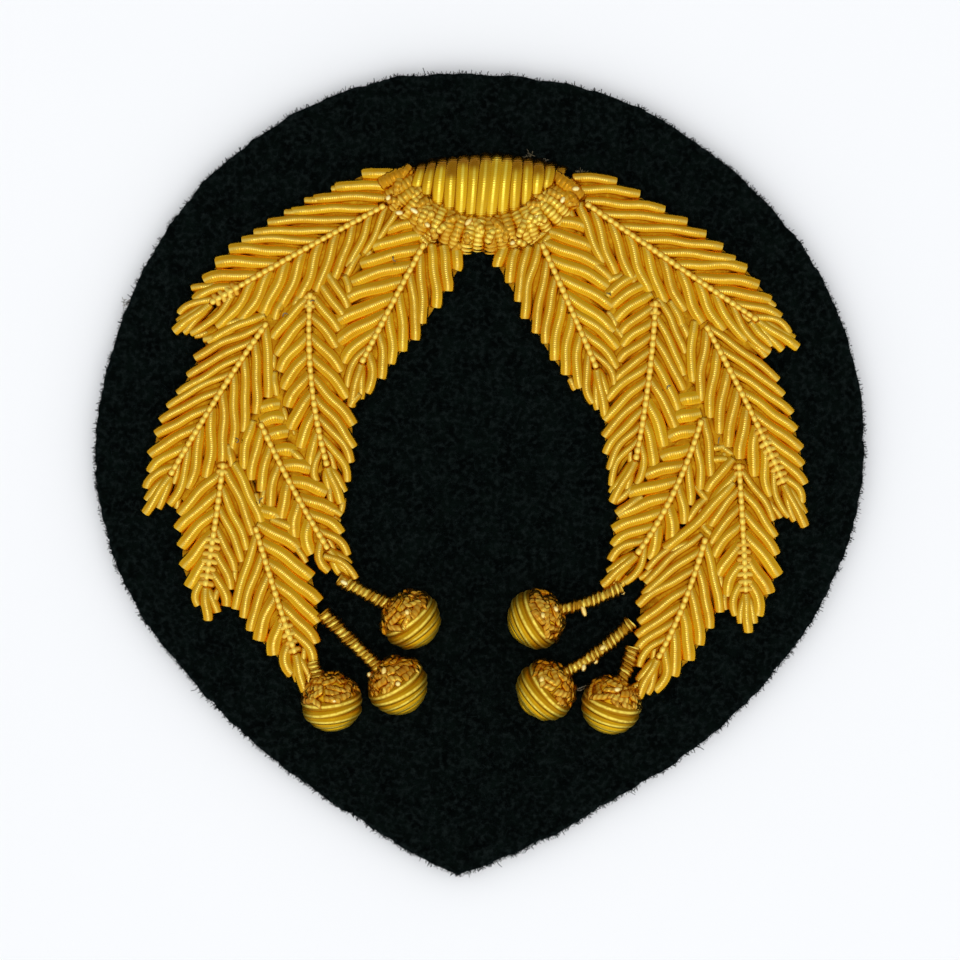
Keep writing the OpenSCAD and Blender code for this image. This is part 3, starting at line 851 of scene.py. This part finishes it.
def addJoins(pads):
    for half, route in joins:
        path = []
        for a, b in zip(route, route[1:]):
            path += [flat(mix(flat(a), flat(b), t), clothTop) for t in shares(padding["joinSteps"])[:-1]]
        path.append(flat(route[-1], clothTop))
        addTube(pads, path, 1.0, shape=oval(half, padding["rise"]))


leafPads = newWork()
addJoins(leafPads)
for number, (name, leaf) in enumerate(leaves.items()):
    makeLeaf(number, name, leaf, leafPads)
    makeVein(number, name, leaf[0])
makePiece("leaf_padding", leafPads, paddingFelt)
print("leaves made")

# short barbs that close the corners between leaves: start, end, half width, and how far they are raised
# and bowed
fillers = [
    ((25.4, -0.8), (18.4, -7.5), 0.6, 0.15, 0.3), ((22.7, -2.3), (20.5, -4.9), 0.55, -0.1, 0.0),
    ((23.2, 1.5), (24.8, 1.5), 0.5, 0.0, 0.0), ((23.3, 2.6), (24.6, 2.8), 0.5, -0.05, 0.0),
    ((19.1, 17.4), (20.4, 14.4), 0.6, -0.05, 0.0), ((19.9, 15.9), (21.0, 13.4), 0.6, -0.1, 0.0),
    ((10.9, 21.6), (13.2, 19.5), 0.6, 0.0, 0.0), ((12.8, 16.3), (13.9, 14.5), 0.5, -0.15, 0.0),
    ((13.4, 14.9), (14.5, 13.3), 0.45, -0.15, 0.0), ((27.1, 15.3), (29.3, 12.8), 0.6, -0.05, 0.0),
    ((26.9, 13.5), (28.7, 11.7), 0.55, -0.08, 0.0), ((7.4, 24.4), (5.7, 22.5), 0.55, -0.15, 0.0),
    ((24.5, 2.2), (24.6, 0.6), 0.5, -0.15, 0.0), ((22.0, -3.4), (22.4, -5.4), 0.5, -0.1, 0.0),
    ((16.3, -2.2), (13.6, -4.0), 0.55, 0.0, -0.1), ((21.9, -6.6), (18.9, -8.2), 0.55, -0.05, -0.3),
    ((12.7, 19.2), (14.4, 20.0), 0.5, -0.1, 0.0), ((20.9, 9.6), (22.1, 9.3), 0.5, -0.1, 0.0),
    ((-12.0, 22.1), (-13.4, 19.8), 0.5, 0.0, 0.0), ((-13.5, 19.9), (-12.9, 17.8), 0.5, 0.05, 0.0),
    ((-10.9, 22.4), (-11.8, 21.3), 0.45, -0.1, 0.0), ((-19.6, 17.7), (-20.5, 15.4), 0.6, 0.0, 0.0),
    ((-20.6, 12.1), (-20.7, 10.3), 0.45, -0.1, 0.0), ((-20.5, 10.3), (-20.3, 7.8), 0.5, 0.0, 0.0),
    ((-19.7, 6.7), (-19.2, 5.1), 0.45, -0.15, 0.0), ((-18.8, 4.7), (-18.3, 3.3), 0.4, -0.15, 0.0),
    ((-25.1, 3.0), (-24.8, 0.7), 0.6, 0.0, 0.0), ((-12.0, 8.1), (-13.0, 6.7), 0.5, 0.05, 0.0),
    ((-6.6, 24.4), (-4.9, 22.5), 0.55, -0.15, 0.0), ((-13.9, -3.9), (-13.6, -2.2), 0.45, -0.15, 0.0),
    ((-24.2, 14.7), (-27.7, 13.5), 0.5, -0.05, 0.2), ((-23.3, 15.5), (-26.0, 15.0), 0.45, -0.1, 0.0),
    ((-17.8, 18.2), (-18.9, 16.3), 0.5, -0.1, 0.0), ((-15.7, -2.8), (-13.7, -4.1), 0.5, -0.05, 0.0),
    ((-15.6, -8.1), (-12.3, -10.5), 0.5, 0.1, 0.5), ((-22.4, -1.9), (-21.9, -3.9), 0.5, -0.1, 0.0),
    ((-6.1, 24.7), (-4.4, 23.1), 0.5, -0.2, 0.0), ((6.9, 24.6), (5.2, 23.1), 0.5, -0.2, 0.0),
    ((8.9, 26.8), (9.9, 24.3), 0.5, -0.15, 0.0), ((15.6, -1.0), (13.5, -2.8), 0.5, -0.1, 0.0),
    ((-19.2, 2.6), (-17.6, 1.4), 0.5, 0.0, 0.0), ((-20.9, -4.4), (-18.3, -5.6), 0.55, 0.0, 0.0),
]
# more of them, sunk under the ends of the others: start and end
sunkBarbs = [
    ((-18.6, -6.6), (-17.3, -8.9)), ((-25.8, 19.2), (-28.9, 18.6)), ((-15.4, 2.9), (-14.4, 0.3)),
    ((-14.9, -0.9), (-14.8, -3.2)), ((-15.0, 27.6), (-17.6, 27.4)), ((-17.3, 26.5), (-19.6, 26.2)),
    ((-26.0, -11.0), (-26.6, -13.2)), ((-30.0, 1.6), (-30.6, -1.0)), ((-21.5, -1.0), (-21.8, -3.2)),
    ((-24.2, -9.0), (-24.5, -10.9)), ((-17.4, -16.8), (-17.7, -18.9)), ((-17.1, -19.6), (-17.1, -21.0)),
    ((-14.6, -4.2), (-13.8, -4.8)), ((-15.6, -6.0), (-14.5, -7.6)), ((-29.9, -2.0), (-30.3, -3.5)),
    ((-27.2, 14.2), (-28.6, 13.9)), ((-13.5, 28.9), (-14.9, 28.5)), ((28.8, -2.4), (30.2, -4.4)),
    ((17.3, -9.4), (15.9, -10.4)), ((24.5, -11.5), (24.6, -13.6)), ((25.9, 16.2), (27.6, 15.2)),
    ((15.0, 3.2), (15.2, 0.9)), ((16.6, -20.4), (15.2, -21.4)), ((14.9, -10.2), (14.0, -11.2)),
    ((17.6, -17.0), (17.3, -18.6)), ((9.0, 9.6), (9.6, 8.4)), ((23.9, -9.7), (24.3, -11.4)),
    ((28.3, 17.9), (29.6, 16.7)), ((21.5, -1.1), (23.1, -2.8)), ((22.0, -4.7), (23.5, -6.3)),
    ((24.0, 2.9), (25.5, 1.9)),
]
corner = {"sunkAcross": 0.45, "sunkLift": -0.14, "seed": 400}


def makeFillers():
    rng = random.Random(corner["seed"])
    work = newWork()
    for start, end, across, lift, bow in fillers:
        addBarb(work, flat(start), flat(end), bow, across, up, rng, lift)
    for start, end in sunkBarbs:
        addBarb(work, flat(start), flat(end), 0.0, corner["sunkAcross"], up, rng, corner["sunkLift"])
    makePiece("corner_barbs", work, smoothPurl)


makeFillers()
print("corner barbs made")

# loose ends of thread among the wires and by a berry: middle, height, direction in degrees and length
threads = [
    (-21.8, -2.6, 3.3, 60, 0.6), (-16.8, 17.3, 3.3, 20, 0.5), (-8.5, 21.5, 3.3, 120, 0.5),
    (18.9, 8.7, 3.3, 45, 0.5), (23.9, 3.4, 3.3, 80, 0.6), (-24.3, 3.4, 3.3, 100, 0.5),
    (12.9, 18.0, 3.3, 150, 0.5), (-19.4, 15.9, 3.3, 30, 0.5), (10.1, -21.3, 2.7, 20, 1.2),
    (10.0, -21.4, 2.6, 5, 1.0),
]
thread = {"thick": 0.06, "bow": 0.25, "rise": 0.15, "steps": 6, "sides": 6, "seed": 500}
# small tufts of pale lint caught on the cloth: middle, height and number of fibres
tufts = [(4.9, 31.6, 2.3, 24), (6.7, 31.1, 2.3, 14), (10.2, 30.2, 2.2, 26), (-35.3, 17.2, 1.3, 14)]
tuft = {"spread": 0.17, "long": 0.5, "thick": 0.026, "lift": 0.05, "steps": 5, "sides": 4, "seed": 520}


def makeThreads():
    rng = random.Random(thread["seed"])
    work = newWork()
    for x, y, high, turn, long in threads:
        heading = towards(math.radians(turn))
        aside = up.cross(heading) * rng.uniform(-thread["bow"], thread["bow"])
        path = []
        for t in shares(thread["steps"]):
            bowed = aside * (4 * t * (1 - t)) + up * (thread["rise"] * math.sin(math.pi * t))
            path.append(Vector((x, y, high)) + heading * long * (t - 0.5) + bowed)
        addTube(work, path, thread["thick"], sides=thread["sides"], tone=rng.random())
    makePiece("thread_ends", work, lintWool)


def makeTufts():
    rng = random.Random(tuft["seed"])
    work = newWork()
    for x, y, high, count in tufts:
        for _ in range(count):
            stray = Vector((rng.gauss(0, 1), rng.gauss(0, 1), 0)) * tuft["spread"]
            heading = Vector((rng.uniform(-1, 1), rng.uniform(-1, 1), 0))
            start = Vector((x, y, high)) + stray
            path = fibrePath(start, heading, tuft["long"], tuft["lift"], rng, tuft["steps"])
            addTube(work, path, tuft["thick"], sides=tuft["sides"], tone=rng.random())
    makePiece("lint_tufts", work, lintWool)


makeThreads()
makeTufts()
print("threads and lint made")

# boss: upright strands over a padded dome
boss = {
    "middle": (0.4, 34.3), "footRadius": 8.3, "topRadius": 26.8, "topY": 31.8, "axisY": 29.2,
    "halfWidth": 8.0, "height": 2.85, "endHeight": 1.3, "endFrom": 5.5, "endLow": 27.9, "endSlope": 0.95,
    "foot": 0.25, "footShare": 0.87, "seat": 0.05, "lowest": 0.05, "strands": 15, "across": 0.72,
    "rise": 0.34, "sides": 18, "steps": 40, "swell": (0.95, 1.02), "stray": 0.12, "slant": 0.5,
    "weave": 0.08, "weaveRate": 3, "lit": (0.6, 1.0), "litFrom": (0.5, 2.1), "litRun": 0.9, "seed": 31,
}


def bossLow(x):
    # the lower edge: round in the middle, straighter towards the ends
    if abs(x) > boss["endFrom"]:
        return boss["endLow"] + (abs(x) - boss["endFrom"]) * boss["endSlope"]
    return boss["middle"][1] - math.sqrt(boss["footRadius"] ** 2 - x * x)


def bossTop(x):
    return boss["topY"] - boss["topRadius"] + math.sqrt(boss["topRadius"] ** 2 - x * x)


def bossHeight(x, y):
    high = boss["height"] - (boss["height"] - boss["endHeight"]) * (x / boss["halfWidth"]) ** 2
    away = (y - boss["axisY"]) / high
    if away < 0:
        # the near flank drops steeply to its foot beside the band
        away = boss["footShare"] * (boss["axisY"] - y) / (boss["axisY"] - bossLow(x) + boss["foot"])
    return high * math.sqrt(max(0.0, 1 - away * away))


def paintedStrandShading(litFrom, lit):
    # painted shade up the far flank, and painted light from a place of its own on every strand
    def shade(along):
        return lit * ease((along - litFrom) / boss["litRun"])

    return shade


def makeBoss():
    rng = random.Random(boss["seed"])
    work, pad = newWork(), newWork()
    pitch = 2 * boss["halfWidth"] / boss["strands"]
    section = oval(boss["across"], boss["rise"])
    grid = []
    for i in range(boss["strands"]):
        x = (i + 0.5) * pitch - boss["halfWidth"]
        swell, stray = rng.uniform(*boss["swell"]), rng.uniform(-boss["stray"], boss["stray"])
        path = []
        for t in shares(boss["steps"]):
            y = mix(bossTop(x) + stray, bossLow(x) - boss["foot"], t)
            z = clothTop + boss["seat"] + max(boss["lowest"], swell * bossHeight(x, y) - boss["rise"])
            drift = boss["slant"] * (0.5 - t) + boss["weave"] * math.sin(boss["weaveRate"] * t + i)
            path.append(Vector((boss["middle"][0] + x + drift, y, z)))
        # painted shade and painted light along the strand, as its tone
        shade = paintedStrandShading(rng.uniform(*boss["litFrom"]), rng.uniform(*boss["lit"]))
        addTube(work, path, 1.0, side=Vector((1, 0, 0)), sides=boss["sides"], tone=shade, shape=section)
        grid.append(path)
    addSlab(pad, grid, padding["bottom"])
    makePiece("boss_padding", pad, paddingFelt)
    makePiece("boss_strands", work, yellowPurl, ("boss",))


makeBoss()

# band of rough wire round the foot of the boss: chips laid across it, and loose ones strewn over them
band = {
    "radius": 10.1, "width": 3.8, "peak": 1.65, "turn": 267.5, "span": 126, "lift": 0.2, "fall": (1.8, 3.2),
    "chips": 21, "across": 0.76, "rise": 0.46, "rib": 0.44, "perRib": 6, "sides": 16, "knob": 0.035,
    "spread": (0.92, 1.05), "lit": (0.15, 1.0), "sharp": 1.6, "turnStray": 0.8, "headingStray": 0.12,
    "radiusStray": 0.15, "dimFrom": 0.36, "dimRun": 0.12, "dimTo": 0.1, "seed": 47,
}
strewn = {
    "chips": 26, "span": 0.96, "place": (-0.36, 0.44), "swing": 0.9, "lift": 0.16, "half": (0.5, 0.9),
    "drop": 0.25, "across": 0.5,
}
bandBase = {"rise": 1.2, "steps": 48, "columns": 7, "fall": (1.4, 3.2)}
# short bright bits among the rough wire, pale as a painted glint: place and half length
glints = [
    (-9.1, 27.6, 0.28), (-8.0, 26.1, 0.36), (-6.5, 26.3, 0.46), (-1.1, 25.2, 0.44), (5.8, 25.7, 0.34),
    (9.6, 28.5, 0.36), (8.3, 27.4, 0.34), (-5.2, 24.9, 0.3), (3.3, 23.1, 0.26),
]
# the same by the berries' stems: place, height, direction in degrees and half length
stemBits = [
    (10.4, -13.6, 3.0, -72, 0.6), (10.4, -19.3, 3.1, 80, 0.36), (11.6, -18.7, 2.8, 60, 0.26),
    (12.3, -17.3, 3.3, 40, 0.36), (14.3, -11.8, 2.5, 60, 0.22), (-11.0, -20.0, 3.1, 100, 0.26),
    (-13.5, -10.8, 3.35, -30, 0.4),
]
glint = {
    "height": 3.68, "across": 0.3, "rise": 0.2, "sink": 0.04, "sides": 10, "sizes": [0.5, 0.9, 1.0, 0.9, 0.5],
    "seed": 71,
}
rough = {"ribs": 64, "grades": (0.86, 1.06), "waist": 0.82, "sharp": 0.6, "knobs": 4}


def roughShape(section, rib, rng, knob):
    # a rough wire: ribs all along it, each with knobs turned a little from the last
    turns = [rng.uniform(0, math.tau) for _ in range(rough["ribs"])]
    grades = [rng.uniform(*rough["grades"]) for _ in range(rough["ribs"])]

    def shape(along, angle):
        number = int(along / rib) % rough["ribs"]
        swell = mix(rough["waist"], grades[number], ridged(along, rib, rough["sharp"]))
        return section(along, angle) * swell * (1 + knob * math.cos(rough["knobs"] * angle + turns[number]))

    return shape


def fallAway(t, falls):
    # t runs across the band, from -0.5 next to the boss, where it stands higher, to 0.5 on the outside
    near, far = falls
    return 1 - (near if t < 0 else far) * t * t


def bandHeight(t):
    return clothTop + band["lift"] + (band["peak"] - band["rise"]) * fallAway(t, band["fall"])


def endShade(share):
    # the band is darker towards its two ends
    return mix(1.0, band["dimTo"], ease((abs(share) - band["dimFrom"]) / band["dimRun"]))


def bandOutward(share, stray=0.0):
    # the direction of a place along the band, from -0.5 at one end to 0.5 at the other
    return towards(math.radians(band["turn"] + band["span"] * share + stray))


def addChip(work, spot, heading, half, drop, across, lit, rng):
    # one rough chip, bowed down at its ends
    steps = max(band["perRib"], int(2 * half / band["rib"] * band["perRib"]))
    path = [spot + heading * (half * t) + up * drop(t) for t in shares(steps, -1.0)]
    shape = roughShape(oval(across, band["rise"]), band["rib"], rng, band["knob"])
    # painted highlight on each rib and painted shade between ribs
    shade = paintedBeadShading(band["rib"], lit * rng.uniform(*band["lit"]), band["sharp"])
    addTube(work, path, rng.uniform(*band["spread"]), sides=band["sides"], tone=shade, shape=shape)


def addLaidChips(work, centre, rng):
    def drop(t):
        return bandHeight(t / 2)

    for i in range(band["chips"]):
        share = (i + 0.5) / band["chips"] - 0.5
        outward = bandOutward(share, rng.uniform(-band["turnStray"], band["turnStray"]))
        aside = up.cross(outward) * rng.uniform(-band["headingStray"], band["headingStray"])
        spot = centre + outward * (band["radius"] + rng.uniform(-band["radiusStray"], band["radiusStray"]))
        heading = (outward + aside).normalized()
        addChip(work, spot, heading, band["width"] / 2, drop, band["across"], endShade(share), rng)


def addStrewnChips(work, centre, rng):
    def drop(t):
        return -strewn["drop"] * t * t

    for i in range(strewn["chips"]):
        share = (i + rng.random()) / strewn["chips"] - 0.5
        outward = bandOutward(strewn["span"] * share)
        place = rng.uniform(*strewn["place"])
        swing = rng.uniform(-strewn["swing"], strewn["swing"])
        heading = outward * math.cos(swing) + up.cross(outward) * math.sin(swing)
        spot = centre + outward * (band["radius"] + place * band["width"])
        spot += up * (bandHeight(place) + strewn["lift"])
        half = rng.uniform(*strewn["half"])
        addChip(work, spot, heading, half, drop, strewn["across"], endShade(share), rng)


def addBandBase(work, centre):
    grid = []
    for share in shares(bandBase["steps"], -0.5, 0.5):
        outward = bandOutward(share)
        row = []
        for t in shares(bandBase["columns"] - 1, -0.5, 0.5):
            z = clothTop + bandBase["rise"] * fallAway(t, bandBase["fall"])
            row.append(centre + outward * (band["radius"] + t * band["width"]) + up * z)
        grid.append(row)
    addSlab(work, grid, padding["bottom"])


def makeBand():
    rng = random.Random(band["seed"])
    work, base = newWork(), newWork()
    centre = flat(boss["middle"])
    addLaidChips(work, centre, rng)
    addStrewnChips(work, centre, rng)
    addBandBase(base, centre)
    makePiece("band_chips", work, checkPurl, ("boss_band",))
    makePiece("band_padding", base, paddingFelt)


def addGlint(work, spot, half, turn, rng):
    path = [spot + towards(turn) * (half * t) for t in shares(len(glint["sizes"]) - 1, -1.0)]
    section = oval(glint["across"], glint["rise"])
    addTube(work, path, glint["sizes"], sides=glint["sides"], tone=rng.random(), shape=section)


def makeGlints():
    rng = random.Random(glint["seed"])
    work = newWork()
    for x, y, half in glints:
        addGlint(work, Vector((x, y, glint["height"])), half, rng.uniform(0, math.pi), rng)
    for x, y, high, turn, half in stemBits:
        addGlint(work, Vector((x, y, high)), half, math.radians(turn), rng)
    makePiece("bright_bits", work, paintedGlintPurl)


makeGlints()
makeBand()
print("boss and band made")

# berries: middle of the ball, radius, direction of its free end, the stem's points and radius, and the
# bright bits on it, pale as a painted glint
berries = {
    "left_1": (
        (-6.95, -14.4), 3.02, -50, [(-14.1, -10.4), (-11.7, -11.7), (-8.9, -13.1)], 0.76,
        [(-7.2, -13.7, 0.26)]
    ),
    "left_2": (
        (-8.25, -21.0), 3.05, -60, [(-15.7, -13.8), (-13.2, -16.3), (-10.0, -19.4)], 0.78,
        [(-9.5, -19.6, 0.42), (-8.1, -20.8, 0.26)]
    ),
    "left_3": (
        (-14.8, -22.65), 3.05, -80, [(-16.7, -18.7), (-16.3, -19.8), (-15.6, -21.2)], 0.76,
        [(-14.6, -22.4, 0.4)]
    ),
    "right_1": (
        (5.75, -14.4), 3.0, -153, [(14.2, -11.2), (11.0, -12.7), (8.0, -13.5)], 0.68,
        [(6.3, -14.0, 0.3), (7.6, -13.4, 0.3)]
    ),
    "right_2": (
        (6.75, -21.5), 3.05, -140, [(15.2, -14.7), (12.3, -17.4), (8.6, -19.8)], 0.72,
        [(6.2, -20.4, 0.3)]
    ),
    "right_3": (
        (13.2, -22.95), 3.0, -110, [(15.3, -17.2), (14.9, -18.8), (14.2, -20.6)], 0.76,
        [(13.7, -21.4, 0.3)]
    ),
}
ball = {
    "lift": 0.55, "tilt": 16, "grow": 0.06, "rings": 6, "rise": 0.34, "cover": 0.57, "wobble": 0.06,
    "ringSteps": 34, "ringStray": (-0.1, 0.06), "ringLit": (0.7, 1.0), "clear": 0.1, "sides": 14,
    # the core under the windings: how far in it lies, the turns where it starts and ends, and its mesh
    "sink": 0.4, "core": (0.05, 2.0), "coreRows": 12, "coreSides": 24, "coreTone": 0.4,
    # the wire's free end: how far in each of its points lies, and its size there
    "freeEnd": [(0.8, 0.55), (0.2, 0.55), (0.06, 0.45), (0.0, 0.25)], "seed": 60,
}
cap = {
    "from": 106, "to": 178,  # degrees from the ball's free end
    "rows": 5, "rowAt": 0.45, "squash": 0.9, "sink": 0.3, "liftStray": (-0.12, 0.18), "long": 1.5,
    "longer": 0.25, "across": 0.48, "spread": (0.85, 1.1), "rise": 0.36, "rib": 0.52, "knob": 0.05,
    "skew": 0.8, "stray": 0.06, "lit": (0.2, 1.0), "sharp": 1.4, "steps": 14, "sides": 12,
}
stem = {
    "deep": 0.3, "turn": 0.52, "step": 0.06, "sides": 20, "height": 0.64, "knot": 1.15, "grades": (0.84, 1.1),
    "turns": 64, "sharp": 0.7, "grain": 0.06, "grainTurns": (6, 11, 17),
}


def ringReach(centre, axis, radius, turn):
    # how far round a ring stays above the cloth
    crest = axis.cross(up).normalized().cross(axis)
    above = clothTop + ball["clear"] - (centre + axis * math.cos(turn) * radius).z
    low = above / (radius * math.sin(turn) * crest.z)
    return math.acos(max(-0.9999, min(0.999, low)))


def ballPath(centre, axis, radius, course, squash=1.0):
    # points on a ball, and the sideways direction at each
    # course holds pairs of angles: from the free end, and round the axis
    across = axis.cross(up).normalized()
    crest = across.cross(axis)
    path, sides = [], []
    for turn, spin in course:
        outward = crest * math.cos(spin) + across * math.sin(spin)
        deep = math.cos(turn) * (squash if turn > math.pi / 2 else 1.0)
        path.append(centre + (axis * deep + outward * math.sin(turn)) * radius)
        sides.append(axis * math.sin(turn) - outward * math.cos(turn))
    return path, sides


def addCore(work, centre, radius):
    # a round core inside the ball, down into the cloth
    turns = shares(ball["coreRows"], *ball["core"])
    path = [centre + up * (radius * math.cos(turn)) for turn in turns]
    sizes = [radius * math.sin(turn) for turn in turns]
    side = Vector((1, 0, 0))
    addTube(work, path, sizes, side=side, sides=ball["coreSides"], tone=ball["coreTone"])


def addWindings(work, centre, axis, radius, rng):
    width = math.radians(cap["from"]) / (ball["rings"] + 0.5)
    section = oval(ball["cover"] * width * radius, ball["rise"])
    for i in range(ball["rings"]):
        turn, skew = width * (i + 1), rng.uniform(-1, 1) * ball["wobble"]
        reach = ringReach(centre, axis, radius, turn)
        course = [(turn + skew * math.sin(spin), spin) for spin in shares(ball["ringSteps"], -reach, reach)]
        path, sides = ballPath(centre, axis, radius - ball["rise"] + rng.uniform(*ball["ringStray"]), course)
        # painted light: brighter towards the free end
        lit = mix(1.0, 0.0, i / (ball["rings"] - 1)) * rng.uniform(*ball["ringLit"])
        addTube(work, path, 1.0, side=sides, sides=ball["sides"], tone=lit, shape=section)
    path = [centre + axis * (radius - back) for back, size in ball["freeEnd"]]
    sizes = [size for back, size in ball["freeEnd"]]
    addTube(work, path, sizes, side=axis.cross(up), sides=ball["sides"])


def addCap(work, centre, axis, radius, rng):
    # rows of short rough chips over the stem's end of the ball, each a little askew
    for r in range(cap["rows"]):
        turn = math.radians(mix(cap["from"], cap["to"], (r + cap["rowAt"]) / cap["rows"]))
        ring = radius * math.sin(turn)
        reach = ringReach(centre, axis, radius, turn)
        count = max(2, round(2 * reach * ring / cap["long"]))
        for c in range(count):
            middle = mix(-reach, reach, (c + 0.5) / count + rng.uniform(-cap["stray"], cap["stray"]))
            half = reach / count + rng.uniform(0.0, cap["longer"]) / radius
            skew = rng.uniform(-cap["skew"], cap["skew"]) * math.sin(turn)
            course = [(turn + skew * half * t, middle + half * t) for t in shares(cap["steps"], -1.0)]
            lift = rng.uniform(*cap["liftStray"]) - cap["sink"]
            path, sides = ballPath(centre, axis, radius + lift, course, cap["squash"])
            section = oval(cap["across"] * rng.uniform(*cap["spread"]), cap["rise"])
            shape = roughShape(section, cap["rib"], rng, cap["knob"])
            # painted highlight on each rib and painted shade between ribs
            shade = paintedBeadShading(cap["rib"], rng.uniform(*cap["lit"]), cap["sharp"])
            addTube(work, path, 1.0, side=sides, sides=cap["sides"], tone=shade, shape=shape)


def evenPath(route, step, height):
    # points at an even step along a curved route of three points
    long = sum((flat(b) - flat(a)).length for a, b in zip(route, route[1:]))
    return [throughThree(route, u) + up * height for u in shares(int(long / step))]


def addStem(work, route, radius, rng):
    # two rough wires twisted together, a little thicker where they start
    grades = [rng.uniform(*stem["grades"]) for _ in range(stem["turns"])]
    lights = [rng.uniform(0.0, 1.0) for _ in range(stem["turns"])]
    around, slow, fast = stem["grainTurns"]

    def twist(along, angle):
        place = along / stem["turn"] - angle / math.pi
        wound = abs(math.cos(math.pi * place)) ** stem["sharp"]
        grain = 1 + stem["grain"] * math.cos(around * angle + slow * along) * math.sin(fast * along)
        return mix(1 - stem["deep"], grades[round(place) % stem["turns"]], wound) * grain

    # painted highlight where each turn of the twist comes up, of random strength, and painted shade between
    # turns
    def shade(along):
        place = along / stem["turn"]
        return math.cos(math.pi * place) ** 2 * lights[round(place) % stem["turns"]]

    path = evenPath(route, stem["step"], clothTop + stem["height"])
    sizes = [radius * mix(stem["knot"], 1.0, ease(i * stem["step"])) for i in range(len(path))]
    addTube(work, path, sizes, sides=stem["sides"], tone=shade, shape=twist)


def makeBerry(number, name, row):
    middle, radius, direction, route, stemRadius, bits = row
    radius += ball["grow"]
    rng = random.Random(ball["seed"] + number)
    tilt = math.radians(ball["tilt"])  # the free end leans down to the cloth
    axis = towards(math.radians(direction)) * math.cos(tilt) - up * math.sin(tilt)
    centre = flat(middle, clothTop + ball["lift"])
    windings, chips, twist, bright = newWork(), newWork(), newWork(), newWork()
    addWindings(windings, centre, axis, radius, rng)
    addCore(windings, centre, radius - ball["sink"])
    addCap(chips, centre, axis, radius, rng)
    addStem(twist, route, stemRadius, rng)
    for x, y, half in bits:
        away = (flat((x, y)) - flat(middle)).length
        high = centre.z + math.sqrt(radius ** 2 - away ** 2) - glint["sink"]
        addGlint(bright, Vector((x, y, high)), half, rng.uniform(0, math.pi), rng)
    makePiece("windings_" + name, windings, woundPurl, ("berry_" + name,))
    makePiece("rough_cap_" + name, chips, capPurl, ("cap_" + name,))
    makePiece("twisted_stem_" + name, twist, stemPurl, ("stem_" + name,))
    makePiece("bright_bits_" + name, bright, paintedGlintPurl)


for number, (name, row) in enumerate(berries.items()):
    makeBerry(number, name, row)
print("berries made")

# pale floor and soft studio light
studio = {
    "strip": {"place": (0.0, -0.3, 0.95), "size": (0.2, 0.8), "power": 0.5},
    "glint": {"place": (-0.05, -0.1, 0.9), "size": (0.06, 0.06), "power": 0.17},
    "near": 1.35, "far": 0.6, "sky": (0.97, 0.98, 1.0, 1), "floorReach": 1.5, "paperScale": 12.0,
    "paper": ((0.93, 0.94, 0.95, 1), (0.96, 0.965, 0.97, 1)), "paperRough": 0.9,
}


def makeFloor():
    material, tree, shader = newMaterial("paleFloor")
    paper = mixColour(tree, noiseNode(tree, studio["paperScale"]), *studio["paper"])
    tree.links.new(paper, shader.inputs["Base Color"])
    shader.inputs["Roughness"].default_value = studio["paperRough"]
    reach = studio["floorReach"]
    corners = [(-reach, -reach, 0), (reach, -reach, 0), (reach, reach, 0), (-reach, reach, 0)]
    mesh = bpy.data.meshes.new("floor")
    mesh.from_pydata(corners, [], [(0, 1, 2, 3)])
    mesh.materials.append(material)
    floor = bpy.data.objects.new("floor", mesh)
    bpy.context.scene.collection.objects.link(floor)


def areaLight(name, settings):
    data = bpy.data.lights.new(name, "AREA")
    data.shape = "RECTANGLE"
    data.size, data.size_y = settings["size"]
    data.energy = settings["power"]
    light = bpy.data.objects.new(name, data)
    light.location = settings["place"]
    light.rotation_euler = (-Vector(settings["place"])).to_track_quat("-Z", "Y").to_euler()
    bpy.context.scene.collection.objects.link(light)


def skyLight():
    # a plain pale sky, brighter on the near side than on the far side
    world = bpy.data.worlds.new("studio")
    bpy.context.scene.world = world
    world.use_nodes = True
    tree = world.node_tree
    background = tree.nodes["Background"]
    background.inputs[0].default_value = studio["sky"]
    parts = tree.nodes.new("ShaderNodeSeparateXYZ")
    tree.links.new(tree.nodes.new("ShaderNodeTexCoord").outputs["Generated"], parts.inputs[0])
    half = (studio["near"] - studio["far"]) / 2
    strength = mathNode(tree, "MULTIPLY_ADD", parts.outputs[1], -half, studio["far"] + half)
    tree.links.new(strength, background.inputs[1])


makeFloor()
areaLight("stripLight", studio["strip"])
areaLight("glintLight", studio["glint"])
skyLight()
bpy.context.scene.view_settings.view_transform = "Standard"
print("studio made")
